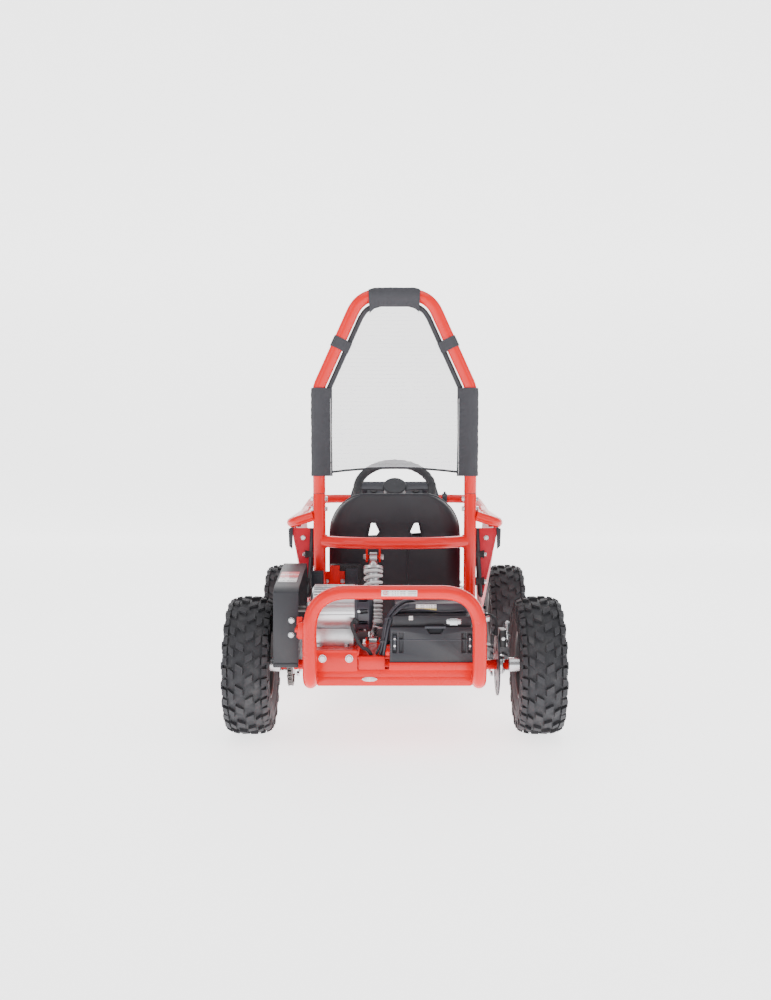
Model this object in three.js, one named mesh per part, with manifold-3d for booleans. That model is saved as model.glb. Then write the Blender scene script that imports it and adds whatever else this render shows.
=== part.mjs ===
// Off-road electric go-kart: tubular chassis, rear swing arm with motor, battery and live axle,
// and a front end with one sprung arm and one steered wheel on each side.
// Millimetres. +X is the driver's right, +Y is forwards, +Z is up; z = 0 is the ground.
import * as THREE from "three";
import { mergeVertices } from "three/addons/utils/BufferGeometryUtils.js";
import Module from "manifold-3d";

const wasm = await Module();
wasm.setup();

// ---- driving dimensions ----
const GAP = 0.3;
const WHEEL_R = 177.5;
const TYRE_W = 118;
const RIM_R = 84;
const TRACK_X = 372;
const REAR_Y = -425;
const FRONT_Y = 475;
const FRAME_OD = 34;
const RAIL_OD = 28;
const RAIL_Z = 130;
const UPRIGHT_X = 208;
const HOOP_LEAN = 0.1222;
const JOINT_Z = 620;
const KNEE_Z = 907;
const HOOP_TOP_Z = 1156;
const HOOP_TOP_X = 93;
const PIVOT_Y = -215;
const PIVOT_Z = 178;
const AXLE_R = 12.5;
const AXLE_BORE_R = 13.2;
const MOTOR_Y = -486.87;
const MOTOR_Z = 331;
const MOTOR_R = 62;
const CHAIN_X = -270;
const PINION_TEETH = 10;
const SPROCKET_TEETH = 25;
const CHAIN_PITCH = 12.7;
const PINION_PCR = CHAIN_PITCH / 2 / Math.sin(Math.PI / PINION_TEETH);
const SPROCKET_PCR = CHAIN_PITCH / 2 / Math.sin(Math.PI / SPROCKET_TEETH);
const DISC_R = 80;
const DISC_X = 267;
const SHOCK_X = -58;
const SHOCK_TOP = [-292, 447];
const SHOCK_LOW = [-352, 224];
const ARM_PIVOT_X = 130;
const ARM_Z = 176;
const KINGPIN_X = 282;
const FRONT_SHOCK_TOP = [160, 425];
const FRONT_SHOCK_LOW = [236, 206];
const WHEEL_HUB = [0, 220, 622];
const WHEEL_DIA = 265;
const COLUMN_TILT = (41 * Math.PI) / 180;
const COLUMN_BEARING_AT = 382;
const COLUMN_FOOT_AT = 545;
const RIM_TUBE_R = 14;
const STEER_Y = 552;
const ROD_Z = 198;
const PEDAL_X = 74;
const PEDAL_PIVOT = [520, 166];
const CROSS_TUBE_Z = 486;
const CROSS_TUBE_OD = 32;
const SIDE_RAIL_Z = 559;
const STAY_OD = 22;
const TOWER_OD = 26;
const FRONT_TUBE_Y = 594;
const FRONT_TUBE_R = 14;
const SEAT_WALL = 4.5;
const SHEET = 3;
const HUB_R = 10;
const WHEEL_SIDES = 20;
const DISC_HOLES = 5;
const HOOP_JOINT_BOLTS_Z = [577, 604];
const PANEL_STUDS_Z = [448, 372];

const hoopY = (z) => -205 - HOOP_LEAN * (z - 170);

// ---- materials ----
const paint = (name, color, roughness, metalness) =>
  Object.assign(new THREE.MeshStandardMaterial({ color, roughness, metalness }), { name });
const RED = paint("frame_red", 0xd8262a, 0.35, 0.3);
const PANEL = paint("panel_red", 0xc92436, 0.45, 0);
const PLASTIC = paint("black_plastic", 0x202024, 0.55, 0);
const STEEL = paint("black_steel", 0x1c1c20, 0.45, 0.4);
const ZINC = paint("zinc", 0xb9bcc2, 0.35, 0.9);
const ALLOY = paint("alloy", 0xc6c8cc, 0.4, 0.9);
const TYRE = paint("tyre_rubber", 0x222226, 0.85, 0);
const NET = paint("net_fabric", 0xe8e8ec, 0.9, 0);
const SPRING = paint("spring_white", 0xf0f0f2, 0.4, 0.1);

// ---- solids ----
const v2 = (x, y) => new THREE.Vector2(x, y);
const v3 = (x, y, z) => new THREE.Vector3(x, y, z);

function solid(geometry) {
  const bare = geometry.index ? geometry.toNonIndexed() : geometry.clone();
  bare.deleteAttribute("normal");
  bare.deleteAttribute("uv");
  const merged = mergeVertices(bare, 1e-4);
  const triVerts = new Uint32Array(merged.index.array);
  const made = new wasm.Manifold(
    new wasm.Mesh({ numProp: 3, vertProperties: merged.attributes.position.array, triVerts })
  );
  return made.volume() < 0 ? turned(merged, triVerts) : made;
}

function turned(merged, triVerts) {
  for (let i = 0; i < triVerts.length; i += 3) {
    [triVerts[i + 1], triVerts[i + 2]] = [triVerts[i + 2], triVerts[i + 1]];
  }
  return new wasm.Manifold(
    new wasm.Mesh({ numProp: 3, vertProperties: merged.attributes.position.array, triVerts })
  );
}

const union = (first, ...rest) => rest.reduce((sum, next) => sum.add(next), first);
const cut = (first, ...rest) => rest.reduce((sum, next) => sum.subtract(next), first);

const box = (x0, x1, y0, y1, z0, z1) =>
  solid(
    new THREE.BoxGeometry(x1 - x0, y1 - y0, z1 - z0).translate(
      (x0 + x1) / 2,
      (y0 + y1) / 2,
      (z0 + z1) / 2
    )
  );

// A straight round bar between two points.
function bar(from, to, radius, sides = 8) {
  const a = v3(...from);
  const b = v3(...to);
  const along = b.clone().sub(a);
  const g = new THREE.CylinderGeometry(radius, radius, along.length(), sides);
  g.applyQuaternion(new THREE.Quaternion().setFromUnitVectors(v3(0, 1, 0), along.normalize()));
  const middle = a.add(b).multiplyScalar(0.5);
  return solid(g.translate(middle.x, middle.y, middle.z));
}

// A path through given stations, each one a ring of the swept section.
class Stations extends THREE.Curve {
  constructor(points) {
    super();
    this.points = points;
  }
  index(t) {
    return Math.round(t * (this.points.length - 1));
  }
  getPoint(t) {
    return this.points[this.index(t)].clone();
  }
  getPointAt(t) {
    return this.getPoint(t);
  }
  getSpacedPoints() {
    return this.points;
  }
  getTangentAt(t) {
    const i = this.index(t);
    const p = this.points;
    const before = p[Math.max(i - 1, 0)];
    const after = p[Math.min(i + 1, p.length - 1)];
    const tangent = v3(0, 0, 0);
    if (i > 0) tangent.add(p[i].clone().sub(before).normalize());
    if (i < p.length - 1) tangent.add(after.clone().sub(p[i]).normalize());
    return tangent.normalize();
  }
}

// Corner points to stations, with each inner corner bent to a radius.
// The radius is one number, or a list with one for each inner corner.
function rounded(corners, radius, perBend = 3) {
  const p = corners.map((c) => v3(...c));
  const out = [p[0]];
  for (let i = 1; i < p.length - 1; i++) {
    const back = p[i - 1].clone().sub(p[i]);
    const on = p[i + 1].clone().sub(p[i]);
    const half = back.angleTo(on) / 2;
    const bend = Array.isArray(radius) ? radius[i - 1] : radius;
    const reach = Math.min(bend / Math.tan(half), back.length() * 0.49, on.length() * 0.49);
    const from = p[i].clone().addScaledVector(back.normalize(), reach);
    const to = p[i].clone().addScaledVector(on.normalize(), reach);
    for (let k = 0; k <= perBend; k++) {
      const t = k / perBend;
      const a = from.clone().lerp(p[i], t);
      const b = p[i].clone().lerp(to, t);
      out.push(a.lerp(b, t));
    }
  }
  out.push(p[p.length - 1]);
  return out;
}

function sweep(stations, radius, sides = 10) {
  const section = new THREE.Shape(
    Array.from({ length: sides }, (_, k) => {
      const a = (2 * Math.PI * (k + 0.5)) / sides;
      return v2(radius * Math.cos(a), radius * Math.sin(a));
    })
  );
  const path = new Stations(stations);
  const options = { steps: stations.length - 1, bevelEnabled: false, extrudePath: path };
  return solid(new THREE.ExtrudeGeometry(section, options));
}

const tube = (corners, od, radius = 90, perBend = 3, sides = od > 31 ? 10 : 8) =>
  sweep(rounded(corners, radius, perBend), od / 2, sides);

// A profile of [radius, x] pairs turned about the X axis through (y, z).
function turnedX(profile, y, z, sides = 24) {
  const points = profile.map(([r, x]) => v2(r, x));
  const g = new THREE.LatheGeometry(points, sides);
  g.rotateZ(-Math.PI / 2);
  return solid(g.translate(0, y, z));
}

const ring = (r0, r1, x0, x1) => [
  [r0, x0],
  [r1, x0],
  [r1, x1],
  [r0, x1],
  [r0, x0],
];

// A flat polygon of [y, z] pairs, extruded along X.
function plateX(outline, x0, x1) {
  const shape = new THREE.Shape(outline.map(([y, z]) => v2(y, z)));
  const g = new THREE.ExtrudeGeometry(shape, { depth: x1 - x0, bevelEnabled: false });
  g.applyMatrix4(new THREE.Matrix4().set(0, 0, 1, x0, 1, 0, 0, 0, 0, 1, 0, 0, 0, 0, 0, 1));
  return solid(g);
}

// A wire coiled between two points.
function coil(from, to, radius, wire, turns, perTurn = 6) {
  const a = v3(...from);
  const b = v3(...to);
  const axis = b.clone().sub(a).normalize();
  const side = v3(1, 0, 0).cross(axis).normalize();
  const other = axis.clone().cross(side);
  const n = Math.round(turns * perTurn);
  const stations = Array.from({ length: n + 1 }, (_, k) => {
    const angle = (2 * Math.PI * k) / perTurn;
    return a
      .clone()
      .lerp(b, k / n)
      .addScaledVector(side, radius * Math.cos(angle))
      .addScaledVector(other, radius * Math.sin(angle));
  });
  return sweep(stations, wire, 4);
}

const mirrored = (part) => part.mirror([1, 0, 0]);

// ---- the part ----
const kart = new THREE.Group();
kart.name = "kart";

function place(name, part, material) {
  const m = part.getMesh();
  const g = new THREE.BufferGeometry();
  g.setAttribute("position", new THREE.BufferAttribute(m.vertProperties, 3));
  g.setIndex(new THREE.BufferAttribute(m.triVerts, 1));
  g.computeVertexNormals();
  const mesh = new THREE.Mesh(g, material);
  mesh.name = name;
  kart.add(mesh);
  return part;
}

const both = (name, part, material) => {
  place(`${name}_right`, part, material);
  place(`${name}_left`, mirrored(part), material);
};

// ---- floor frame: rails, cross tubes, lugs ----
const railPath = [
  [UPRIGHT_X, -212, RAIL_Z],
  [UPRIGHT_X, 60, RAIL_Z],
  [ARM_PIVOT_X, 300, RAIL_Z],
  [ARM_PIVOT_X, 598, RAIL_Z],
];
const rail = tube(railPath, FRAME_OD, 120, 3);
const lug = (y) =>
  plateX([[y - 3, RAIL_Z], [y + 3, RAIL_Z], [y + 3, ARM_Z + 18], [y - 3, ARM_Z + 18]],
    ARM_PIVOT_X - 16, ARM_PIVOT_X + 16);
const armPin = bar([ARM_PIVOT_X, 424, ARM_Z], [ARM_PIVOT_X, 526, ARM_Z], 7.6);
const sideFrame = union(rail, lug(424), lug(526), armPin);
const frontTube = (radius) =>
  bar([-ARM_PIVOT_X, FRONT_TUBE_Y, RAIL_Z], [ARM_PIVOT_X, FRONT_TUBE_Y, RAIL_Z], radius);
const columnSeat = union(
  frontTube(FRONT_TUBE_R),
  box(-16, 16, 588, 606, RAIL_Z, 206),
  box(-16, 16, 564, 590, 178, 206),
  cut(box(-58, 58, 536, 568, 170, 214), box(-60, 60, 540, 564, 160, 208))
);
const columnAxis = v3(0, Math.sin(COLUMN_TILT), -Math.cos(COLUMN_TILT));
const columnAt = (t) => [0, WHEEL_HUB[1] + columnAxis.y * t, WHEEL_HUB[2] + columnAxis.z * t];
const columnRun = bar(columnAt(-20), columnAt(590), 9.6, 10);
const floorFrame = union(
  sideFrame,
  mirrored(sideFrame),
  bar([-UPRIGHT_X, -160, RAIL_Z], [UPRIGHT_X, -160, RAIL_Z], FRAME_OD / 2),
  columnSeat
);
place("floor_frame", cut(floorFrame, columnRun), RED);

// ---- floor pan, resting on the rails ----
const panOutline = [
  [-UPRIGHT_X + 6, -120],
  [-UPRIGHT_X + 6, 50],
  [-ARM_PIVOT_X + 6, 290],
  [-ARM_PIVOT_X + 30, 400],
  [-ARM_PIVOT_X + 30, 560],
  [ARM_PIVOT_X - 30, 560],
  [ARM_PIVOT_X - 30, 400],
  [ARM_PIVOT_X - 6, 290],
  [UPRIGHT_X - 6, 50],
  [UPRIGHT_X - 6, -120],
];
const PAN_Z = RAIL_Z + FRAME_OD / 2 + GAP;
const panGeometry = new THREE.ExtrudeGeometry(
  new THREE.Shape(panOutline.map(([x, y]) => v2(x, y))),
  { depth: SHEET, bevelEnabled: false }
).translate(0, 0, PAN_Z);
const pedalLug = (x) => box(x - 2, x + 2, 512, 528, PAN_Z + 1, 175);
const pedalSeat = (s) =>
  union(
    pedalLug(s * PEDAL_X - 18),
    pedalLug(s * PEDAL_X + 18),
    bar([s * PEDAL_X - 18, ...PEDAL_PIVOT], [s * PEDAL_X + 18, ...PEDAL_PIVOT], 3.6)
  );
place("floor_pan", union(solid(panGeometry), pedalSeat(1), pedalSeat(-1)), STEEL);

// ---- uprights, with the swing arm's pivot pins ----
const uprightFull = tube(
  [
    [UPRIGHT_X, hoopY(147), 147],
    [UPRIGHT_X, hoopY(JOINT_Z), JOINT_Z],
  ],
  FRAME_OD
);
const jointBolt = (z) => bar([UPRIGHT_X + 24, hoopY(z), z], [UPRIGHT_X - 24, hoopY(z), z], 7, 6);
const upright = cut(
  union(
    uprightFull,
    bar([UPRIGHT_X, PIVOT_Y, PIVOT_Z], [150, PIVOT_Y, PIVOT_Z], 8),
    ...HOOP_JOINT_BOLTS_Z.map(jointBolt)
  ),
  tube(railPath, FRAME_OD + 2 * GAP, 120, 3)
);
both("upright", upright, RED);

// ---- roll hoop ----
const hoopCorners = (s) => [
  [s * UPRIGHT_X, hoopY(JOINT_Z + GAP), JOINT_Z + GAP],
  [s * UPRIGHT_X, hoopY(KNEE_Z), KNEE_Z],
  [s * HOOP_TOP_X, hoopY(HOOP_TOP_Z), HOOP_TOP_Z],
];
const hoopPath = [...hoopCorners(-1), ...hoopCorners(1).reverse()];
place("roll_hoop", tube(hoopPath, FRAME_OD, 80, 4), RED);

// ---- net: sleeves round the hoop and a thin panel between them ----
const lean = (x, z, off = 0) => [x, hoopY(z) + off, z];
const SLEEVE_R = FRAME_OD / 2 / Math.cos(Math.PI / 10) + GAP;
const sleeve = (a, b, wall) => {
  const on = v3(...b).sub(v3(...a)).normalize();
  const from = v3(...a).sub(on).toArray();
  const to = v3(...b).add(on).toArray();
  return cut(bar(a, b, FRAME_OD / 2 + wall, 10), bar(from, to, SLEEVE_R, 10));
};
const sideSleeve = sleeve(lean(UPRIGHT_X, 668), lean(UPRIGHT_X, 888), 8);
const strapRun = (t) => {
  const x = UPRIGHT_X + (HOOP_TOP_X - UPRIGHT_X) * t;
  return lean(x, KNEE_Z + (HOOP_TOP_Z - KNEE_Z) * t);
};
const strap = sleeve(strapRun(0.42), strapRun(0.54), 4);
const netOutline = [
  [-186, 676], [-172, 690], [172, 690], [186, 676], [186.5, 870], [189, 899],
  [98, 1097], [73, 1126], [39, 1136], [-39, 1136], [-73, 1126], [-98, 1097], [-189, 899],
  [-186.5, 870],
];
const netPanel = () => {
  const slope = Math.hypot(1, HOOP_LEAN);
  const shape = new THREE.Shape(netOutline.map(([x, z]) => v2(x, (z - JOINT_Z) * slope)));
  const g = new THREE.ExtrudeGeometry(shape, { depth: SHEET, bevelEnabled: false });
  g.translate(0, 0, -SHEET / 2);
  g.rotateX(Math.PI / 2 + Math.atan(HOOP_LEAN)).translate(0, hoopY(JOINT_Z), JOINT_Z);
  return solid(g);
};
const netBody = union(
  netPanel(),
  sideSleeve,
  mirrored(sideSleeve),
  sleeve(lean(-38, HOOP_TOP_Z), lean(38, HOOP_TOP_Z), 7),
  strap,
  mirrored(strap)
);
place("net", netBody, NET);

// ---- cross tube with the shock's upper clevis ----
const crossPath = [
  [-UPRIGHT_X, hoopY(CROSS_TUBE_Z) + 1, CROSS_TUBE_Z],
  [-130, hoopY(CROSS_TUBE_Z) - 52, CROSS_TUBE_Z],
  [-70, hoopY(CROSS_TUBE_Z) - 74, CROSS_TUBE_Z],
  [70, hoopY(CROSS_TUBE_Z) - 74, CROSS_TUBE_Z],
  [130, hoopY(CROSS_TUBE_Z) - 52, CROSS_TUBE_Z],
  [UPRIGHT_X, hoopY(CROSS_TUBE_Z) + 1, CROSS_TUBE_Z],
];
const clevisTop = (x) =>
  plateX([[-322, CROSS_TUBE_Z], [-312, 432], [-274, 432], [-300, CROSS_TUBE_Z]], x, x + 5);
const uprightFat = tube(
  [
    [UPRIGHT_X, hoopY(147), 147],
    [UPRIGHT_X, hoopY(JOINT_Z), JOINT_Z],
  ],
  FRAME_OD + 2 * GAP
);
const shockPinTop = bar([SHOCK_X - 26, ...SHOCK_TOP], [SHOCK_X + 26, ...SHOCK_TOP], 5.4);
place(
  "cross_tube",
  cut(
    union(
      tube(crossPath, CROSS_TUBE_OD, 70, 2, 8),
      clevisTop(SHOCK_X - 20),
      clevisTop(SHOCK_X + 15),
      shockPinTop
    ),
    uprightFat,
    mirrored(uprightFat)
  ),
  RED
);

// ---- side rails and dash bar ----
const sideRailPath = [
  [UPRIGHT_X, hoopY(SIDE_RAIL_Z), SIDE_RAIL_Z],
  [289, hoopY(SIDE_RAIL_Z) + 22, 536],
  [289, 240, 540],
  [286, 300, 549],
];
const sideRailFat = tube([...sideRailPath.slice(0, 3), [285.9, 301, 549.2]], RAIL_OD + 2 * GAP, 45, 4);
both("side_rail", cut(tube(sideRailPath, RAIL_OD, 45, 4), uprightFat), RED);
const dashPath = (s) => [
  [s * 286, 300.4, 549],
  [s * 270, 400, 580],
  [s * 200, 405, 582],
];
const stayPath = [
  [150, 404, 582],
  [150, 562, 440],
  [ARM_PIVOT_X, 590, 240],
  [ARM_PIVOT_X, 590, 140],
];
const railFat = union(
  tube(railPath, FRAME_OD + 2 * GAP, 120, 3),
  mirrored(tube(railPath, FRAME_OD + 2 * GAP, 120, 3))
);
const stay = tube(stayPath, STAY_OD, 60, 2, 8);
place(
  "dash_bar",
  cut(
    union(
      tube([...dashPath(-1), ...dashPath(1).reverse()], RAIL_OD, 60, 4),
      stay,
      mirrored(stay)
    ),
    railFat,
    sideRailFat,
    mirrored(sideRailFat),
    frontTube(FRONT_TUBE_R + GAP)
  ),
  RED
);

// ---- shock tower over the front arms, with the column's upper bearing ----
const towerPath = [
  [-ARM_PIVOT_X + 4, FRONT_Y, 140],
  [-ARM_PIVOT_X + 4, FRONT_Y, 440],
  [ARM_PIVOT_X - 4, FRONT_Y, 440],
  [ARM_PIVOT_X - 4, FRONT_Y, 140],
];
const towerTab = union(
  box(122, 174, FRONT_Y - 16, FRONT_Y - 12, 409, 441),
  box(122, 174, FRONT_Y + 12, FRONT_Y + 16, 409, 441),
  bar([FRONT_SHOCK_TOP[0], FRONT_Y - 22, FRONT_SHOCK_TOP[1]],
    [FRONT_SHOCK_TOP[0], FRONT_Y + 22, FRONT_SHOCK_TOP[1]], 4.9)
);
const columnBearing = union(
  bar(columnAt(COLUMN_BEARING_AT - 14), columnAt(COLUMN_BEARING_AT + 14), 17, 10),
  box(-9, 9, FRONT_Y - 6, FRONT_Y + 4, 345, 440)
);
const armBushRoom = bar([ARM_PIVOT_X, 420, ARM_Z], [ARM_PIVOT_X, 530, ARM_Z], 14.2, 14);
place(
  "shock_tower",
  cut(
    union(tube(towerPath, TOWER_OD, 50, 3, 8), towerTab, mirrored(towerTab), columnBearing),
    railFat,
    armBushRoom,
    mirrored(armBushRoom),
    columnRun
  ),
  RED
);

// ---- front bumper ----
const stayFat = tube(stayPath, STAY_OD + 0.8, 60, 2, 8);
const bumperCorners = (s) => [
  [s * 118, 611.5, 146],
  [s * 150, 640, 190],
  [s * 165, 647.3, 320],
];
place(
  "front_bumper",
  cut(
    union(
      tube([...bumperCorners(-1), ...bumperCorners(1).reverse()], 28, 60, 4),
      bar([-157, 644, 245], [157, 644, 245], 10),
      bar([112, 594, 162], [112, 628, 176], 9),
      bar([-112, 594, 162], [-112, 628, 176], 9)
    ),
    stayFat,
    mirrored(stayFat),
    railFat,
    frontTube(FRONT_TUBE_R + GAP)
  ),
  RED
);

// ---- seat: a moulded shell with two slots, on two feet ----
// Each station: y, z of the back surface, half width, wing depth.
const seatStations = [
  [262, 200, 120, 16],
  [240, 192, 150, 30],
  [150, 176, 172, 62],
  [40, 166, 182, 92],
  [-40, 165, 186, 120],
  [-84, 186, 188, 130],
  [-104, 250, 190, 128],
  [-116, 350, 191, 118],
  [-126, 440, 191, 96],
  [-133, 505, 188, 74],
  [-137, 540, 178, 58],
  [-140, 568, 162, 44],
  [-142, 588, 142, 30],
  [-144, 603, 118, 18],
  [-145, 610, 98, 8],
];
function seatShell() {
  const rows = seatStations.map(([y, z, w, wing], i) => {
    const a = seatStations[Math.max(i - 1, 0)];
    const b = seatStations[Math.min(i + 1, seatStations.length - 1)];
    const along = v2(b[0] - a[0], b[1] - a[1]).normalize();
    const inward = v2(-along.y, along.x).multiplyScalar(-1);
    const round = Math.min(52, wing * 0.9, w * 0.5);
    const outline = (t) => {
      const ww = w - t;
      const r = Math.max(round - t, 1);
      const pts = [[-ww, wing]];
      for (let k = 0; k <= 2; k++) {
        const q = (Math.PI / 4) * k;
        pts.push([-ww + r - r * Math.cos(q), t + r - r * Math.sin(q)]);
      }
      for (let k = 2; k >= 0; k--) {
        const q = (Math.PI / 4) * k;
        pts.push([ww - r + r * Math.cos(q), t + r - r * Math.sin(q)]);
      }
      pts.push([ww, wing]);
      return pts;
    };
    const loop = [...outline(0), ...outline(SEAT_WALL).reverse()];
    return loop.map(([x, d]) => [x, y + inward.x * d, z + inward.y * d]);
  });
  const n = rows[0].length;
  const half = n / 2;
  const positions = rows.flat(2);
  const index = [];
  for (let i = 0; i < rows.length - 1; i++) {
    for (let k = 0; k < n; k++) {
      const a = i * n + k;
      const b = i * n + ((k + 1) % n);
      index.push(a, b, a + n, b, b + n, a + n);
    }
  }
  const last = (rows.length - 1) * n;
  for (let k = 0; k < half - 1; k++) {
    const [a, b, c, d] = [k, k + 1, n - 1 - k, n - 2 - k];
    index.push(a, c, b, b, c, d);
    index.push(last + a, last + b, last + c, last + b, last + d, last + c);
  }
  const g = new THREE.BufferGeometry();
  g.setAttribute("position", new THREE.Float32BufferAttribute(positions, 3));
  g.setIndex(index);
  return solid(g);
}
const seatSlot = (s) => {
  const shape = new THREE.Shape(
    [[-70, 532], [-54, 532], [-42, 506], [-52, 492], [-78, 492]].map(([x, z]) => v2(s * x, z))
  );
  const g = new THREE.ExtrudeGeometry(shape, { depth: 120, bevelEnabled: false });
  return solid(g.rotateX(Math.PI / 2).translate(0, -60, 0));
};
const PAN_TOP = PAN_Z + SHEET;
const seatFoot = (y, top) => box(-120, 120, y - 9, y + 9, PAN_TOP + GAP, top);
place(
  "seat",
  cut(union(seatShell(), seatFoot(30, 169), seatFoot(-52, 170)), seatSlot(1), seatSlot(-1)),
  PLASTIC
);

// ---- side panels hung under the side rails ----
const panelSection = (y, topX, botX, zTop, zBot) => [
  [topX, y, zTop],
  [topX - 5, y, zTop],
  [botX - 5, y, zBot],
  [botX, y, zBot],
];
function loft(sections) {
  const n = sections[0].length;
  const positions = sections.flat(2);
  const index = [];
  for (let i = 0; i < sections.length - 1; i++) {
    for (let k = 0; k < n; k++) {
      const a = i * n + k;
      const b = i * n + ((k + 1) % n);
      index.push(a, b, a + n, b, b + n, a + n);
    }
  }
  const last = (sections.length - 1) * n;
  for (let k = 1; k < n - 1; k++) {
    index.push(0, k + 1, k);
    index.push(last, last + k, last + k + 1);
  }
  const g = new THREE.BufferGeometry();
  g.setAttribute("position", new THREE.Float32BufferAttribute(positions, 3));
  g.setIndex(index);
  return solid(g);
}
const panelSkin = loft([
  panelSection(-214, 288, 246, 521, 330),
  panelSection(-60, 300, 262, 523, 280),
  panelSection(150, 300, 262, 524, 285),
  panelSection(262, 290, 270, 527, 420),
]);
const panelReturn = loft([
  [[226, -214, 521], [288, -214, 521], [246, -214, 330], [238, -214, 330]],
  [[226, -209, 521], [288, -209, 521], [246, -209, 330], [238, -209, 330]],
]);
const panelStud = (z) => bar([222 + (z - 430) * 0.05, -212, z], [258, -212, z], 7, 8);
const panelTab = (y) => box(282, 297, y - 12, y + 12, 508, 520);
const sidePanel = cut(
  union(panelSkin, panelReturn, panelTab(-120), panelTab(60), ...PANEL_STUDS_Z.map(panelStud)),
  sideRailFat,
  uprightFat
);
both("side_panel", sidePanel, PANEL);

// ---- dash console and nose cowl ----
const dashPanel = loft([
  [[-146, 372, 588], [146, 372, 588], [146, 384, 598], [-146, 384, 598]],
  [[-128, 424, 634], [128, 424, 634], [128, 430, 639], [-128, 430, 639]],
]);
const dashLeg = (s) => box(s * 100 - 8, s * 100 + 8, 385, 404, 594, 625);
const dashBarFat = tube([...dashPath(-1), ...dashPath(1).reverse()], RAIL_OD + 2 * GAP, 60, 4);
place("dash_panel", cut(union(dashPanel, dashLeg(-1), dashLeg(1)), dashBarFat), PLASTIC);
const cowl = (w0, w1, w2, w3, t) => [
  [[-w0, 505, 446 - t], [w0, 505, 446 - t], [w0, 505, 446], [-w0, 505, 446]],
  [[-w1, 558, 436 - t], [w1, 558, 436 - t], [w1, 560, 436], [-w1, 560, 436]],
  [[-w2, 608 - t, 388], [w2, 608 - t, 388], [w2, 610, 390], [-w2, 610, 390]],
  [[-w3, 638 - t, 338], [w3, 638 - t, 338], [w3, 638, 338], [-w3, 638, 338]],
];
const cowlTab = (s) => box(s * 90 - 14, s * 90 + 14, 625, 635, 322, 348);
const bumperFat = tube([...bumperCorners(-1), ...bumperCorners(1).reverse()], 28.6, 60, 4);
place(
  "nose_cowl",
  cut(union(loft(cowl(96, 118, 118, 110, 4)), cowlTab(-1), cowlTab(1)), bumperFat,
    stayFat, mirrored(stayFat)),
  PANEL
);

// ---- controller on its bracket behind the seat ----
place(
  "controller",
  cut(
    union(
      box(-180, -96, -206, -180, 332, 418),
      box(-196, -90, -211, -206, 318, 400),
      box(-168, -142, -214, -211, 352, 412),
      bar([-196, -208.5, 372], [-212, -228, 372], 5, 8)
    ),
    mirrored(uprightFat)
  ),
  STEEL
);

// ---- swing arm ----
const swingArmHalf = tube(
  [
    [206, -383.4, 167],
    [206, -330, 167],
    [168, -272, 178],
    [168, PIVOT_Y, PIVOT_Z],
  ],
  FRAME_OD, 40, 3
);
const pivotTube = cut(
  bar([-188, PIVOT_Y, PIVOT_Z], [188, PIVOT_Y, PIVOT_Z], FRAME_OD / 2, 10),
  bar([-190, PIVOT_Y, PIVOT_Z], [-145, PIVOT_Y, PIVOT_Z], 8.8, 8),
  bar([145, PIVOT_Y, PIVOT_Z], [190, PIVOT_Y, PIVOT_Z], 8.8, 8)
);
const lowClevis = (x) =>
  plateX([[-364, 170], [-364, 236], [-340, 236], [-322, 170]], x, x + 5);
const shockPinLow = bar([SHOCK_X - 24, ...SHOCK_LOW], [SHOCK_X + 24, ...SHOCK_LOW], 5.4);
place(
  "swing_arm",
  union(
    cut(union(swingArmHalf, mirrored(swingArmHalf)),
      bar([-188, PIVOT_Y, PIVOT_Z], [-140, PIVOT_Y, PIVOT_Z], 8.8, 8),
      bar([140, PIVOT_Y, PIVOT_Z], [188, PIVOT_Y, PIVOT_Z], 8.8, 8)),
    pivotTube,
    bar([-200, -340, 172], [200, -340, 172], 14),
    lowClevis(SHOCK_X - 20),
    lowClevis(SHOCK_X + 15),
    shockPinLow,
    box(20, 160, -350, -330, 176, 194.6)
  ),
  RED
);

// ---- bearing blocks ----
const bearingBlock = cut(
  union(
    plateX([[-466, 150], [-466, 184], [-448, 226], [-402, 226], [-384, 184], [-384, 150]], 200, 246),
    turnedX([[0, 244], [34, 244], [34, 258], [0, 258]], REAR_Y, WHEEL_R, 20)
  ),
  bar([180, REAR_Y, WHEEL_R], [270, REAR_Y, WHEEL_R], AXLE_BORE_R, 16)
);
both("bearing_block", bearingBlock, RED);

// ---- bumper hoop behind the axle ----
const hoopRear = (s) => [
  [s * 206, -466.4, 167],
  [s * 206, -645, 167],
  [s * 206, -645, 391],
];
const bumperHoopPath = [...hoopRear(-1), ...hoopRear(1).reverse()];
const BUMPER_BENDS = [48, 95, 95, 48];
place("bumper_hoop", tube(bumperHoopPath, FRAME_OD, BUMPER_BENDS, 5), RED);
const bumperHoopFat = tube(bumperHoopPath, FRAME_OD + 2 * GAP, BUMPER_BENDS, 5);

// ---- rear cross member with the centre beam over the axle and the battery's tray ----
place(
  "rear_cross_member",
  cut(
    union(
      box(-206, 206, -590, -560, 153, 195.2),
      box(-90, -24, -590, -392, 190.8, 226),
      box(-14, 198, -604, -330, 195, 198.7),
      box(-14, 198, -607.5, -603.5, 195, 214)
    ),
    bumperHoopFat
  ),
  RED
);

// ---- motor plate ----
place(
  "motor_plate",
  union(
    box(-214, -92, -560, -416, 236, 242),
    box(-200, -92, -596, -590.3, 190, 236),
    box(-200, -92, -596, -555, 236, 242),
    box(-186, -94, -560 + GAP, -536, 195.3, 236),
    bar([-178, -603, 222], [-178, -590.3, 222], 8, 6),
    bar([-112, -603, 222], [-112, -590.3, 222], 8, 6)
  ),
  RED
);

// ---- battery case on the tray ----
const caseBody = cut(
  union(box(-12, 196, -603, -300, 199, 300), box(-6, 190, -590, -306, 300, 330)),
  box(78, 122, -605, -592, 284, 296),
  box(-8, 2, -605, -598, 238, 282),
  box(176, 186, -605, -598, 238, 282)
);
place("battery_case", caseBody, PLASTIC);

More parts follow.
